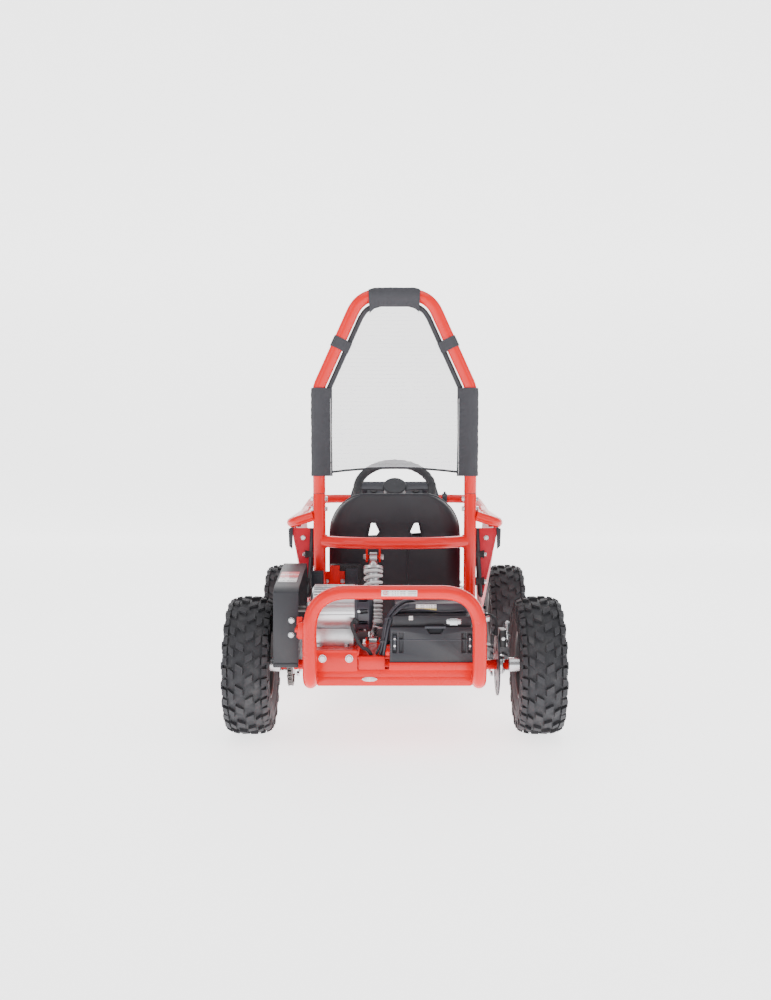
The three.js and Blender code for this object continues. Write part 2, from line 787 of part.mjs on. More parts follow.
// ---- motor ----
const motorProfile = [
  [0, -214],
  [44, -214],
  [MOTOR_R, -206],
  [MOTOR_R, -100],
  [58, -96],
  [58, -62],
  [40, -54],
  [0, -54],
];
const motorBody = union(
  turnedX(motorProfile, MOTOR_Y, MOTOR_Z, 20),
  box(-206, -104, MOTOR_Y - 46, MOTOR_Y + 46, 242 + GAP, 290),
  turnedX([[0, -226], [17, -226], [17, -210], [0, -210]], MOTOR_Y, MOTOR_Z, 16)
);
const shaftBore = bar([-230, MOTOR_Y, MOTOR_Z], [-200, MOTOR_Y, MOTOR_Z], 8.3, 16);
place("motor", cut(motorBody, shaftBore), ALLOY);

// ---- pinion and shaft ----
function sprocketRim(teeth, pcr, x0, x1) {
  const points = [];
  for (let k = 0; k < teeth; k++) {
    const step = (2 * Math.PI) / teeth;
    points.push([k * step, pcr - 3.9], [(k + 0.5) * step, pcr + 2.6]);
  }
  const shape = points.map(([a, r]) => [r * Math.sin(a), r * Math.cos(a)]);
  return plateX(shape, x0, x1);
}
const pinion = union(
  sprocketRim(PINION_TEETH, PINION_PCR, CHAIN_X - 3, CHAIN_X + 3).translate([0, MOTOR_Y, MOTOR_Z]),
  bar([CHAIN_X - 8, MOTOR_Y, MOTOR_Z], [-202, MOTOR_Y, MOTOR_Z], 8, 16)
);
place("motor_pinion", pinion, ZINC);

// ---- chain round both sprockets ----
function chainBand() {
  const dy = MOTOR_Y - REAR_Y;
  const dz = MOTOR_Z - WHEEL_R;
  const d = Math.hypot(dy, dz);
  const base = Math.atan2(dz, dy);
  const spread = Math.acos((SPROCKET_PCR - PINION_PCR) / d);
  const loop = (off) => {
    const out = [];
    const arc = (cy, cz, r, from, to, n) => {
      for (let k = 0; k <= n; k++) {
        const a = from + ((to - from) * k) / n;
        out.push([cy + r * Math.cos(a), cz + r * Math.sin(a)]);
      }
    };
    arc(REAR_Y, WHEEL_R, SPROCKET_PCR + off, base + spread, base + 2 * Math.PI - spread, 14);
    arc(MOTOR_Y, MOTOR_Z, PINION_PCR + off, base - spread, base + spread, 6);
    return out;
  };
  return cut(
    plateX(loop(5.6), CHAIN_X - 7, CHAIN_X + 7),
    plateX(loop(-3.2), CHAIN_X - 8, CHAIN_X + 8)
  );
}
place(
  "chain",
  cut(
    chainBand(),
    turnedX(ring(1, SPROCKET_PCR + 3.2, CHAIN_X - 3.4, CHAIN_X + 3.4), REAR_Y, WHEEL_R, 24),
    turnedX(ring(1, PINION_PCR + 3.2, CHAIN_X - 3.4, CHAIN_X + 3.4), MOTOR_Y, MOTOR_Z, 16)
  ),
  STEEL
);

// ---- chain guard: outer plate with a band round its edge ----
const guardOutline = [
  [-575, 196], [-575, 384], [-540, 396], [-300, 430], [-276, 416], [-276, 236], [-330, 196],
];
const guardInner = [
  [-572, 190], [-572, 381.8], [-539, 393], [-300.5, 426.8], [-279, 414], [-279, 237.4], [-331, 190],
];
const guardShell = union(
  cut(plateX(guardOutline, -302, -239), plateX(guardInner, -299, -238)),
  cut(box(-243, -219, -650, -573, 274, 322), bumperHoopFat),
  bar([-292, -582, 300], [-292, -570, 300], 7, 6),
  bar([-294, -582, 264], [-294, -570, 264], 7, 6)
);
place(
  "chain_guard",
  cut(guardShell, bar([-320, REAR_Y, WHEEL_R], [-290, REAR_Y, WHEEL_R], 19, 16)),
  PLASTIC
);

// ---- rear axle with its hubs and chain sprocket ----
const hubProfile = [
  [0, 296],
  [18, 296],
  [18, 340],
  [44, 340],
  [44, 348],
  [0, 348],
];
const hub = turnedX(hubProfile, REAR_Y, WHEEL_R, 14);
const discCarrier = bar([269.3, REAR_Y, WHEEL_R], [281.3, REAR_Y, WHEEL_R], 26, 14);
const axle = union(
  bar([-384, REAR_Y, WHEEL_R], [384, REAR_Y, WHEEL_R], AXLE_R, 16),
  hub,
  mirrored(hub),
  discCarrier,
  sprocketRim(SPROCKET_TEETH, SPROCKET_PCR, CHAIN_X - 3, CHAIN_X + 3)
    .translate([0, REAR_Y, WHEEL_R])
);
place("rear_axle", axle, ZINC);
const discHoles = Array.from({ length: DISC_HOLES }, (_, k) => {
  const a = (Math.PI * 2 * (k + 0.5)) / DISC_HOLES;
  return bar([260, REAR_Y + 52 * Math.cos(a), WHEEL_R + 52 * Math.sin(a)],
    [275, REAR_Y + 52 * Math.cos(a), WHEEL_R + 52 * Math.sin(a)], 11, 6);
});
place(
  "brake_disc",
  cut(
    turnedX(ring(AXLE_R + 0.7, DISC_R, DISC_X - 2, DISC_X + 2), REAR_Y, WHEEL_R, 20),
    ...discHoles
  ),
  ZINC
);

// ---- caliper on the right bearing block, and its lever ----
const caliperBody = cut(
  union(
    box(248, 288, -462, -410, 226 + GAP, 272),
    box(200, 250, -456, -412, 226 + GAP, 232)
  ),
  box(DISC_X - 4, DISC_X + 4, -470, -400, 200, 262),
  bar([284, -436, 252], [300, -436, 252], 6.4, 12)
);
place("caliper", caliperBody, STEEL);
const lever = union(
  bar([284.4, -436, 252], [300, -436, 252], 6, 12),
  plateX([[-444, 244], [-428, 244], [-430, 292], [-442, 292]], 290, 296)
);
place("brake_lever", lever, ZINC);

// ---- wheels ----
const half = TYRE_W / 2;
const flatToFlat = 1 / Math.cos(Math.PI / WHEEL_SIDES);
const tyreProfile = [
  [RIM_R + 0.4, -half + 12],
  [RIM_R + 9, -half + 12],
  [128, -half],
  [158, -half + 2],
  [WHEEL_R, -half + 25],
  [WHEEL_R, half - 25],
  [158, half - 2],
  [128, half],
  [RIM_R + 9, half - 12],
  [RIM_R + 0.4, half - 12],
  [RIM_R + 0.4, half - 22],
  [163, half - 26],
  [163, -half + 26],
  [RIM_R + 0.4, -half + 22],
  [RIM_R + 0.4, -half + 12],
].map(([r, x]) => [r * flatToFlat, x]);
const rimProfile = [
  [RIM_R, -half + 9],
  [RIM_R, half - 9],
  [RIM_R - 4, half - 9],
  [RIM_R - 4, 3],
  [0, 3],
  [0, -3],
  [RIM_R - 4, -3],
  [RIM_R - 4, -half + 9],
  [RIM_R, -half + 9],
].map(([r, x]) => [r * flatToFlat, x]);
// Turned so that a flat, like a loaded tyre's contact patch, is at the bottom.
const onFlat = (part) => part.rotate([180 / WHEEL_SIDES, 0, 0]);
function wheel(name, y, bore) {
  const tyre = onFlat(turnedX(tyreProfile, 0, 0, WHEEL_SIDES)).translate([0, y, WHEEL_R]);
  const rim = cut(
    onFlat(turnedX(rimProfile, 0, 0, WHEEL_SIDES)).translate([0, y, WHEEL_R]),
    bar([-60, y, WHEEL_R], [60, y, WHEEL_R], bore, 16)
  );
  [["right", 1], ["left", -1]].forEach(([side, s]) => {
    const at = (part) => (s > 0 ? part : mirrored(part)).translate([s * TRACK_X, 0, 0]);
    place(`${name}_tyre_${side}`, at(tyre), TYRE);
    place(`${name}_rim_${side}`, at(rim), STEEL);
  });
}
wheel("rear", REAR_Y, AXLE_R + GAP);
wheel("front", FRONT_Y, HUB_R + 0.35);

// ---- front arms, knuckles and stub axles ----
const boreThrough = bar([ARM_PIVOT_X, 420, ARM_Z], [ARM_PIVOT_X, 530, ARM_Z], 8.4, 8);
const armBush = cut(bar([ARM_PIVOT_X, 428, ARM_Z], [ARM_PIVOT_X, 522, ARM_Z], 13, 10), boreThrough);
const kingpinBore = bar([KINGPIN_X, FRONT_Y, 120], [KINGPIN_X, FRONT_Y, 240], 6.6, 8);
const frontArm = cut(
  union(
    armBush,
    cut(tube([[ARM_PIVOT_X, 438, ARM_Z], [KINGPIN_X, 470, ARM_Z]], 22, 40, 3, 8), boreThrough),
    cut(tube([[ARM_PIVOT_X, 512, ARM_Z], [KINGPIN_X, 480, ARM_Z]], 22, 40, 3, 8), boreThrough),
    bar([KINGPIN_X, FRONT_Y, 148], [KINGPIN_X, FRONT_Y, 204], 15, 10),
    box(226, 250, FRONT_Y - 18, FRONT_Y - 13, 170, 216),
    box(226, 250, FRONT_Y + 13, FRONT_Y + 18, 170, 216),
    bar([FRONT_SHOCK_LOW[0], FRONT_Y - 22, FRONT_SHOCK_LOW[1]],
      [FRONT_SHOCK_LOW[0], FRONT_Y + 22, FRONT_SHOCK_LOW[1]], 4.9),
    box(226, 250, FRONT_Y - 18, FRONT_Y + 18, 166, 186)
  ),
  kingpinBore
);
both("front_arm", frontArm, RED);

const knuckle = union(
  box(KINGPIN_X - 13, 309, FRONT_Y - 13, FRONT_Y + 13, 134, 146),
  box(KINGPIN_X - 13, 309, FRONT_Y - 13, FRONT_Y + 13, 206, 218),
  box(300, 309, FRONT_Y - 13, FRONT_Y + 13, 134, 218),
  bar([KINGPIN_X, FRONT_Y, 128], [KINGPIN_X, FRONT_Y, 224], 6),
  plateX([[FRONT_Y, 207], [STEER_Y + 9, 207], [STEER_Y + 9, 215], [FRONT_Y, 215]],
    KINGPIN_X - 16, KINGPIN_X + 6),
  bar([305, FRONT_Y, WHEEL_R], [402, FRONT_Y, WHEEL_R], HUB_R, 16),
  bar([309, FRONT_Y, WHEEL_R], [340, FRONT_Y, WHEEL_R], 15, 16)
);
both("knuckle", knuckle, ZINC);

// ---- shocks: body with upper eye, rod with lower eye, and the spring between them ----
function shock(top, low, plane, r) {
  const a = v3(...plane(top));
  const b = v3(...plane(low));
  const length = a.distanceTo(b);
  const axis = b.clone().sub(a).normalize();
  const origin = v3(...plane([0, 0]));
  const first = v3(...plane([1, 0])).sub(origin);
  const second = v3(...plane([0, 1])).sub(origin);
  const across = first.cross(second).normalize();
  const at = (t) => a.clone().addScaledVector(axis, t).toArray();
  const eye = (t) => {
    const c = v3(...at(t));
    const reach = (w) => c.clone().addScaledVector(across, w).toArray();
    return [bar(reach(-10), reach(10), r.eye, 12), bar(reach(-14), reach(14), r.pin, 12)];
  };
  const [topEye, topHole] = eye(0);
  const [lowEye, lowHole] = eye(length);
  const body = cut(
    union(
      topEye,
      bar(at(8), at(r.seatTop), r.body * 0.8, 8),
      bar(at(r.seatTop - 8), at(r.seatTop), r.seat, 12),
      bar(at(r.seatTop), at(r.bodyEnd), r.body, 10)
    ),
    topHole,
    bar(at(r.rodStart - 14), at(r.bodyEnd + 2), r.rod + 0.6, 8)
  );
  const rod = cut(
    union(
      lowEye,
      bar(at(length - 8), at(length - r.seatLow), r.body * 0.8, 8),
      bar(at(length - r.seatLow), at(length - r.seatLow + 8), r.seat, 12),
      bar(at(r.rodStart + 20), at(length - r.seatLow), r.rod, 8)
    ),
    lowHole
  );
  const spring = coil(
    at(r.seatTop + r.wire + 0.5),
    at(length - r.seatLow - r.wire - 0.5),
    r.seat - r.wire - 0.6,
    r.wire,
    r.turns
  );
  return { body, rod, spring };
}
const rearShock = shock(SHOCK_TOP, SHOCK_LOW, ([y, z]) => [SHOCK_X, y, z], {
  eye: 13, pin: 6.3, body: 15, seat: 27, rod: 6, wire: 4.2, seatTop: 34, seatLow: 46,
  bodyEnd: 124, rodStart: 62, turns: 7,
});
place("rear_shock_body", rearShock.body, STEEL);
place("rear_shock_rod", rearShock.rod, STEEL);
place("rear_spring", rearShock.spring, SPRING);
const frontShock = shock(FRONT_SHOCK_TOP, FRONT_SHOCK_LOW, ([x, z]) => [x, FRONT_Y, z], {
  eye: 11, pin: 5.8, body: 12.5, seat: 23, rod: 5, wire: 3.6, seatTop: 30, seatLow: 38,
  bodyEnd: 122, rodStart: 60, turns: 7,
});
both("front_shock_body", frontShock.body, STEEL);
both("front_shock_rod", frontShock.rod, STEEL);
both("front_spring", frontShock.spring, SPRING);

// ---- steering: wheel and column in one turning piece each, and two tie rods ----
const wheelRing = () => {
  const g = new THREE.TorusGeometry(WHEEL_DIA / 2 - RIM_TUBE_R, RIM_TUBE_R, 7, 20);
  return solid(g.rotateX(COLUMN_TILT).translate(...WHEEL_HUB));
};
const spoke = (angle) => {
  const r = WHEEL_DIA / 2 - RIM_TUBE_R;
  const g = new THREE.BoxGeometry(r - 6, 24, 7).translate(r / 2, 0, 0);
  g.rotateZ(angle).rotateX(COLUMN_TILT).translate(...WHEEL_HUB);
  return solid(g);
};
place(
  "steering_wheel",
  union(
    wheelRing(),
    spoke(0.05),
    spoke(Math.PI - 0.05),
    spoke(-Math.PI / 2),
    bar(columnAt(-14), columnAt(16), 36, 20)
  ),
  PLASTIC
);
const columnBody = union(
  bar(columnAt(16.4), columnAt(582), 9, 10),
  bar(columnAt(COLUMN_FOOT_AT - 60), columnAt(COLUMN_FOOT_AT - 44), 13, 10)
);
place("steering_column", columnBody, ZINC);
const ROD_END_X = KINGPIN_X - 6;
const tieRod = union(
  bar([20, STEER_Y, ROD_Z], [ROD_END_X, STEER_Y, ROD_Z], 6),
  bar([ROD_END_X, STEER_Y, 190], [ROD_END_X, STEER_Y, 206.3], 11, 10)
);
both("tie_rod", tieRod, ZINC);

// ---- pedals ----
const pedal = (s) => {
  const x = s * PEDAL_X;
  const pin = bar([x - 20, ...PEDAL_PIVOT], [x + 20, ...PEDAL_PIVOT], 4.4);
  return cut(
    union(
      bar([x - 14, ...PEDAL_PIVOT], [x + 14, ...PEDAL_PIVOT], 8),
      box(x - 5, x + 5, 514, 526, 168, 250),
      box(x - 26, x + 26, 510, 516, 236, 306)
    ),
    pin
  );
};
place("throttle_pedal", pedal(1), STEEL);
place("brake_pedal", pedal(-1), STEEL);

export default kart;
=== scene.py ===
# %% [markdown]
# # An off-road electric go-kart
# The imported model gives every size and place. This script dresses it: each plain solid gets a finer
# mesh and a material that is worked out by nodes.

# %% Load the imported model
import math

import bpy
import bmesh
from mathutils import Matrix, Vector


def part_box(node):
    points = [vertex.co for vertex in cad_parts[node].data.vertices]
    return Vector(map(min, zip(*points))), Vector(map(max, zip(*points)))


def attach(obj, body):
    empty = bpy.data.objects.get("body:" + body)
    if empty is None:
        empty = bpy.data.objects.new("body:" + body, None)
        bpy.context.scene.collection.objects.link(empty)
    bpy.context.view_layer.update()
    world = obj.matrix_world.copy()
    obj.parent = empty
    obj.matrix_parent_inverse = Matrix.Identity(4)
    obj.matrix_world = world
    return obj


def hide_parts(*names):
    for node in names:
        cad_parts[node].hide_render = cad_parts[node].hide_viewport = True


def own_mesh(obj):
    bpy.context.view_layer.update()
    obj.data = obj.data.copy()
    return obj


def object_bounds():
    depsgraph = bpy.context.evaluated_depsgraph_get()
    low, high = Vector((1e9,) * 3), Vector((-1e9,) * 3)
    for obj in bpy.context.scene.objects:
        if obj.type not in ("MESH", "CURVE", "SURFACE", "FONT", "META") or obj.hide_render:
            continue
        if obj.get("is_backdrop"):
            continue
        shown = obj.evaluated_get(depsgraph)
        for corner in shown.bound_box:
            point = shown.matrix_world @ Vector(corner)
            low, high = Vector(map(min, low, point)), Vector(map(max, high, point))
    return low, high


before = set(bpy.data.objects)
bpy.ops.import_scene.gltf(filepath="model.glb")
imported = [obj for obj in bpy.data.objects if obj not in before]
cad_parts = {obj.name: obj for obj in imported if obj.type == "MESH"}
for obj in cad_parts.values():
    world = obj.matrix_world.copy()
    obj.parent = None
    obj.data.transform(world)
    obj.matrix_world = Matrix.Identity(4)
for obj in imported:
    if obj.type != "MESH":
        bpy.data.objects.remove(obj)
cad_low, cad_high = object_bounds()
print("box", [round(v, 3) for v in cad_low], [round(v, 3) for v in cad_high])

# %% [markdown]
# ## The camera
# Perspective is set by where the camera stands. The lens then only crops. Standing three metres
# behind the rear axle, a little above the wheels, shows the kart level and square from behind.

# %% Camera
rear_low, rear_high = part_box("rear_tyre_left")
front_low, front_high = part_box("front_tyre_left")
REAR_Y = (rear_low.y + rear_high.y) / 2
FRONT_Y = (front_low.y + front_high.y) / 2
CAMERA_BACK = 3.0
CAMERA_HEIGHT = 0.711

camera_data = bpy.data.cameras.new("camera")
camera_data.sensor_width = 36
camera_data.lens = 41.36
camera_data.shift_x = -0.0092
camera_data.shift_y = -0.040
camera = bpy.data.objects.new("camera", camera_data)
camera.location = (0, REAR_Y - CAMERA_BACK, CAMERA_HEIGHT)
camera.rotation_euler = (math.pi / 2, 0, 0)
bpy.context.collection.objects.link(camera)
bpy.context.scene.camera = camera
print("camera", tuple(round(v, 3) for v in camera.location), "wheelbase", round(FRONT_Y - REAR_Y, 3))

# %% [markdown]
# ## Shapes
# Every piece starts as a list of corners and a list of faces, in millimetres. Small functions make
# the basic forms: a bar, a bent tube, a turned profile, a plate. `join` puts several in one mesh.

# %% Basic forms
MM = 0.001


class Form:
    """Corners and faces, in millimetres."""

    def __init__(self, points=(), faces=()):
        self.points = [Vector(p) for p in points]
        self.faces = [tuple(f) for f in faces]

    def moved(self, x=0, y=0, z=0):
        return Form([p + Vector((x, y, z)) for p in self.points], self.faces)

    def mirrored(self):
        flipped = [tuple(reversed(f)) for f in self.faces]
        return Form([(-p.x, p.y, p.z) for p in self.points], flipped)

    def bent(self, rule):
        return Form([rule(p) for p in self.points], self.faces)


def join(*forms):
    points, faces = [], []
    for form in forms:
        start = len(points)
        points += form.points
        faces += [tuple(i + start for i in f) for f in form.faces]
    return Form(points, faces)


def both_sides(form):
    return join(form, form.mirrored())


def rings(loops, closed=False):
    """Skins a row of equal loops, with flat caps unless it closes on itself."""
    n = len(loops[0])
    points = [p for loop in loops for p in loop]
    faces = []
    spans = len(loops) if closed else len(loops) - 1
    for i in range(spans):
        a, b = i * n, ((i + 1) % len(loops)) * n
        faces += [(a + k, a + (k + 1) % n, b + (k + 1) % n, b + k) for k in range(n)]
    if not closed:
        faces += [tuple(reversed(range(n))), tuple(range(len(points) - n, len(points)))]
    return Form(points, faces)


def frame_of(axis):
    """Two directions square to an axis."""
    axis = Vector(axis).normalized()
    side = axis.orthogonal().normalized()
    return side, axis.cross(side)


def circle(centre, axis, radius, sides, start=0.0):
    side, other = frame_of(axis)
    turn = [start + math.tau * k / sides for k in range(sides)]
    return [Vector(centre) + radius * (math.cos(a) * side + math.sin(a) * other) for a in turn]


def bar(a, b, radius, sides=32, end_radius=None):
    a, b = Vector(a), Vector(b)
    last = radius if end_radius is None else end_radius
    return rings([circle(a, b - a, radius, sides), circle(b, b - a, last, sides)])


def rounded(corners, radius, per_bend=8):
    """Corner points to a run of points; each inner corner is bent to the radius, or to its own."""
    p = [Vector(c) for c in corners]
    out = [p[0]]
    bends = radius if isinstance(radius, (list, tuple)) else [radius] * (len(p) - 2)
    for before, corner, after, radius in zip(p, p[1:], p[2:], bends):
        back, on = before - corner, after - corner
        half = back.angle(on) / 2
        reach = min(radius / math.tan(half), back.length * 0.49, on.length * 0.49)
        start, end = corner + back.normalized() * reach, corner + on.normalized() * reach
        for k in range(per_bend + 1):
            t = k / per_bend
            out.append(start.lerp(corner, t).lerp(corner.lerp(end, t), t))
    return out + [p[-1]]


def sweep(run, radius, sides=24, closed=False):
    """A round section carried along a run of points without twisting."""
    run = [Vector(p) for p in run]
    count = len(run)
    tangents = []
    for i in range(count):
        before = run[i - 1] if i or closed else run[0]
        after = run[(i + 1) % count] if i < count - 1 or closed else run[-1]
        tangents.append((after - before).normalized())
    side = frame_of(tangents[0])[0]
    radii = radius if isinstance(radius, (list, tuple)) else [radius] * count
    loops = []
    for point, tangent, r in zip(run, tangents, radii):
        side = (side - tangent * side.dot(tangent)).normalized()
        other = tangent.cross(side)
        turn = [math.tau * k / sides for k in range(sides)]
        loops.append([point + r * (math.cos(a) * side + math.sin(a) * other) for a in turn])
    return rings(loops, closed)


def tube(corners, od, radius=90, sides=24):
    return sweep(rounded(corners, radius), od / 2, sides)


def band(inner, outer, low, high):
    """The closed outline of a plain ring, to be turned about an axis."""
    return [(inner, low), (outer, low), (outer, high), (inner, high), (inner, low)]


def turned(profile, centre=(0, 0, 0), sides=64, axis=(1, 0, 0)):
    """A profile of (radius, distance) pairs turned about an axis; a closed one ends as it starts."""
    axis = Vector(axis).normalized()
    centre = Vector(centre)
    closed = profile[0] == profile[-1]
    steps = profile[:-1] if closed else profile
    loops = [circle(centre + axis * t, axis, max(r, 0.01), sides) for r, t in steps]
    return rings(loops, closed)


def slab(x0, x1, y0, y1, z0, z1):
    points = [(x, y, z) for x in (x0, x1) for y in (y0, y1) for z in (z0, z1)]
    faces = [(0, 1, 3, 2), (4, 6, 7, 5), (0, 4, 5, 1), (2, 3, 7, 6), (0, 2, 6, 4), (1, 5, 7, 3)]
    return Form(points, faces)


def plate(outline, x0, x1):
    """A flat outline of (y, z) pairs, given thickness along X."""
    return rings([[Vector((x, y, z)) for y, z in outline] for x in (x0, x1)])


def plate_xz(outline, y0, y1):
    return rings([[Vector((x, y, z)) for x, z in outline] for y in (y0, y1)])


def coil(a, b, radius, wire, turn_starts, per_turn=20, sides=10):
    """A wire wound between two points; turn_starts gives how far along each turn begins, 0 to 1."""
    a, b = Vector(a), Vector(b)
    side, other = frame_of(b - a)
    run = []
    for first, second in zip(turn_starts, turn_starts[1:]):
        for k in range(per_turn):
            t = first + (second - first) * k / per_turn
            angle = math.tau * k / per_turn
            run.append(a.lerp(b, t) + radius * (math.cos(angle) * side + math.sin(angle) * other))
    run.append(a.lerp(b, turn_starts[-1]) + radius * side)
    return sweep(run, wire, sides)


print("forms ready")

# %% [markdown]
# ## From form to finished piece
# `piece` makes the mesh in metres, turns every face outwards, rounds its edges a little and shades it
# smooth except at real corners. It also hangs it on the body that carries it and hides the CAD node it stands
# for.

# %% Finished pieces
made = {}


def mesh_of(name, form):
    mesh = bpy.data.meshes.new(name)
    mesh.from_pydata([p * MM for p in form.points], [], form.faces)
    work = bmesh.new()
    work.from_mesh(mesh)
    bmesh.ops.recalc_face_normals(work, faces=work.faces)
    work.to_mesh(mesh)
    work.free()
    return mesh


def settle(obj):
    """Applies the object's modifiers, leaving a plain mesh."""
    graph = bpy.context.evaluated_depsgraph_get()
    done = bpy.data.meshes.new_from_object(obj.evaluated_get(graph))
    done.name = obj.name
    obj.modifiers.clear()
    obj.data = done
    return obj


def shade(mesh, degrees=35):
    mesh.shade_smooth()
    mesh.set_sharp_from_angle(angle=math.radians(degrees))


def piece(name, form, material, body, nodes=(), edge=0.6, cuts=(), degrees=35):
    obj = bpy.data.objects.new(name, mesh_of(name, form))
    bpy.context.collection.objects.link(obj)
    for i, cutter in enumerate(cuts):
        tool = bpy.data.objects.new(f"{name}_cut_{i}", mesh_of(name, cutter))
        bpy.context.collection.objects.link(tool)
        boolean = obj.modifiers.new("cut", "BOOLEAN")
        boolean.object = tool
        boolean.operation = "DIFFERENCE"
        settle(obj)
        bpy.data.objects.remove(tool)
    if edge:
        bevel = obj.modifiers.new("edge", "BEVEL")
        bevel.width = edge * MM
        bevel.segments = 2
        bevel.limit_method = "ANGLE"
        bevel.angle_limit = math.radians(40)
        settle(obj)
    shade(obj.data, degrees)
    dress(obj, material, body, nodes)
    return obj


def dress(obj, material, body, nodes=()):
    obj.data.materials.clear()
    obj.data.materials.append(material)
    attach(obj, body)
    if nodes:
        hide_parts(*([nodes] if isinstance(nodes, str) else nodes))
    made[obj.name] = obj


print("piece maker ready")

# %% [markdown]
# ## Repeats with Geometry Nodes
# Two small node trees make everything that repeats. **Ring** turns copies of a piece about an axis
# along X, and **Scatter** puts copies on points, each turned to face its own direction.

# %% The Ring tree
def new_tree(name, inputs):
    tree = bpy.data.node_groups.new(name, "GeometryNodeTree")
    tree.interface.new_socket("Geometry", in_out="INPUT", socket_type="NodeSocketGeometry")
    for label, kind in inputs:
        tree.interface.new_socket(label, in_out="INPUT", socket_type=kind)
    tree.interface.new_socket("Geometry", in_out="OUTPUT", socket_type="NodeSocketGeometry")
    return tree, tree.nodes.new("NodeGroupInput"), tree.nodes.new("NodeGroupOutput")


def ring_tree():
    inputs = [
        ("Count", "NodeSocketInt"),
        ("Step", "NodeSocketFloat"),
        ("Centre", "NodeSocketVector"),
        ("Material", "NodeSocketMaterial"),
    ]
    tree, start, end = new_tree("Ring", inputs)
    link = tree.links.new
    to_instance = tree.nodes.new("GeometryNodeGeometryToInstance")
    copies = tree.nodes.new("GeometryNodeDuplicateElements")
    copies.domain = "INSTANCE"
    angle = tree.nodes.new("ShaderNodeMath")
    angle.operation = "MULTIPLY"
    turn = tree.nodes.new("ShaderNodeCombineXYZ")
    rotate = tree.nodes.new("GeometryNodeRotateInstances")
    rotate.inputs["Local Space"].default_value = False
    realize = tree.nodes.new("GeometryNodeRealizeInstances")
    paint = tree.nodes.new("GeometryNodeSetMaterial")
    link(start.outputs["Geometry"], to_instance.inputs[0])
    link(to_instance.outputs[0], copies.inputs["Geometry"])
    link(start.outputs["Count"], copies.inputs["Amount"])
    link(copies.outputs["Duplicate Index"], angle.inputs[0])
    link(start.outputs["Step"], angle.inputs[1])
    link(angle.outputs[0], turn.inputs["X"])
    link(copies.outputs["Geometry"], rotate.inputs["Instances"])
    link(turn.outputs[0], rotate.inputs["Rotation"])
    link(start.outputs["Centre"], rotate.inputs["Pivot Point"])
    link(rotate.outputs[0], realize.inputs[0])
    link(realize.outputs[0], paint.inputs["Geometry"])
    link(start.outputs["Material"], paint.inputs["Material"])
    link(paint.outputs[0], end.inputs[0])
    return tree


RING = ring_tree()
print("Ring tree:", len(RING.nodes), "nodes")

# %% [markdown]
# A second tree copies one item onto a list of points, each with its own direction.

# %% The Scatter tree
def scatter_tree():
    inputs = [("Item", "NodeSocketObject"), ("Material", "NodeSocketMaterial")]
    tree, start, end = new_tree("Scatter", inputs)
    link = tree.links.new
    item = tree.nodes.new("GeometryNodeObjectInfo")
    put = tree.nodes.new("GeometryNodeInstanceOnPoints")
    up, along = (tree.nodes.new("GeometryNodeInputNamedAttribute") for _ in range(2))
    for reader, label in ((up, "up"), (along, "along")):
        reader.data_type = "FLOAT_VECTOR"
        reader.inputs["Name"].default_value = label
    stand, aim = (tree.nodes.new("FunctionNodeAlignRotationToVector") for _ in range(2))
    stand.axis = "Z"
    aim.axis = "X"
    aim.pivot_axis = "Z"
    realize = tree.nodes.new("GeometryNodeRealizeInstances")
    paint = tree.nodes.new("GeometryNodeSetMaterial")
    link(start.outputs["Item"], item.inputs["Object"])
    link(start.outputs["Geometry"], put.inputs["Points"])
    link(item.outputs["Geometry"], put.inputs["Instance"])
    link(up.outputs["Attribute"], stand.inputs["Vector"])
    link(stand.outputs[0], aim.inputs["Rotation"])
    link(along.outputs["Attribute"], aim.inputs["Vector"])
    link(aim.outputs[0], put.inputs["Rotation"])
    link(put.outputs[0], realize.inputs[0])
    link(realize.outputs[0], paint.inputs["Geometry"])
    link(start.outputs["Material"], paint.inputs["Material"])
    link(paint.outputs[0], end.inputs[0])
    return tree


SCATTER = scatter_tree()
print("Scatter tree:", len(SCATTER.nodes), "nodes")

# %% [markdown]
# A tree's inputs are set by their identifiers, which `set_inputs` looks up by name. The result is
# turned into a plain mesh, so that nothing depends on the tree afterwards.

# %% Using the trees
def set_inputs(modifier, **values):
    for item in modifier.node_group.interface.items_tree:
        if item.in_out == "INPUT" and item.name in values:
            modifier[item.identifier] = values[item.name]


def ring_of(name, form, count, centre, material, body, nodes=(), step=None, edge=0.0):
    """Copies of a form about a line along X through a centre (in millimetres)."""
    obj = bpy.data.objects.new(name, mesh_of(name, form))
    bpy.context.collection.objects.link(obj)
    modifier = obj.modifiers.new("ring", "NODES")
    modifier.node_group = RING
    angle = math.tau / count if step is None else step
    place = tuple(c * MM for c in centre)
    set_inputs(modifier, Count=count, Step=angle, Centre=place, Material=material)
    obj.update_tag()
    settle(obj)
    shade(obj.data)
    dress(obj, material, body, nodes)
    return obj


def scatter(name, spots, item, material, body, nodes=()):
    """Copies of an item on spots, each (point, up direction, along direction) in millimetres."""
    tool = bpy.data.objects.new(name + "_item", mesh_of(name, item))
    shade(tool.data)
    bpy.context.collection.objects.link(tool)
    mesh = bpy.data.meshes.new(name)
    mesh.from_pydata([Vector(p) * MM for p, up, along in spots], [], [])
    for label, column in (("up", 1), ("along", 2)):
        values = [v for spot in spots for v in Vector(spot[column]).normalized()]
        mesh.attributes.new(label, "FLOAT_VECTOR", "POINT").data.foreach_set("vector", values)
    obj = bpy.data.objects.new(name, mesh)
    bpy.context.collection.objects.link(obj)
    modifier = obj.modifiers.new("scatter", "NODES")
    modifier.node_group = SCATTER
    set_inputs(modifier, Item=tool, Material=material)
    settle(obj)
    bpy.data.objects.remove(tool)
    shade(obj.data)
    dress(obj, material, body, nodes)
    return obj


print("tree helpers ready")

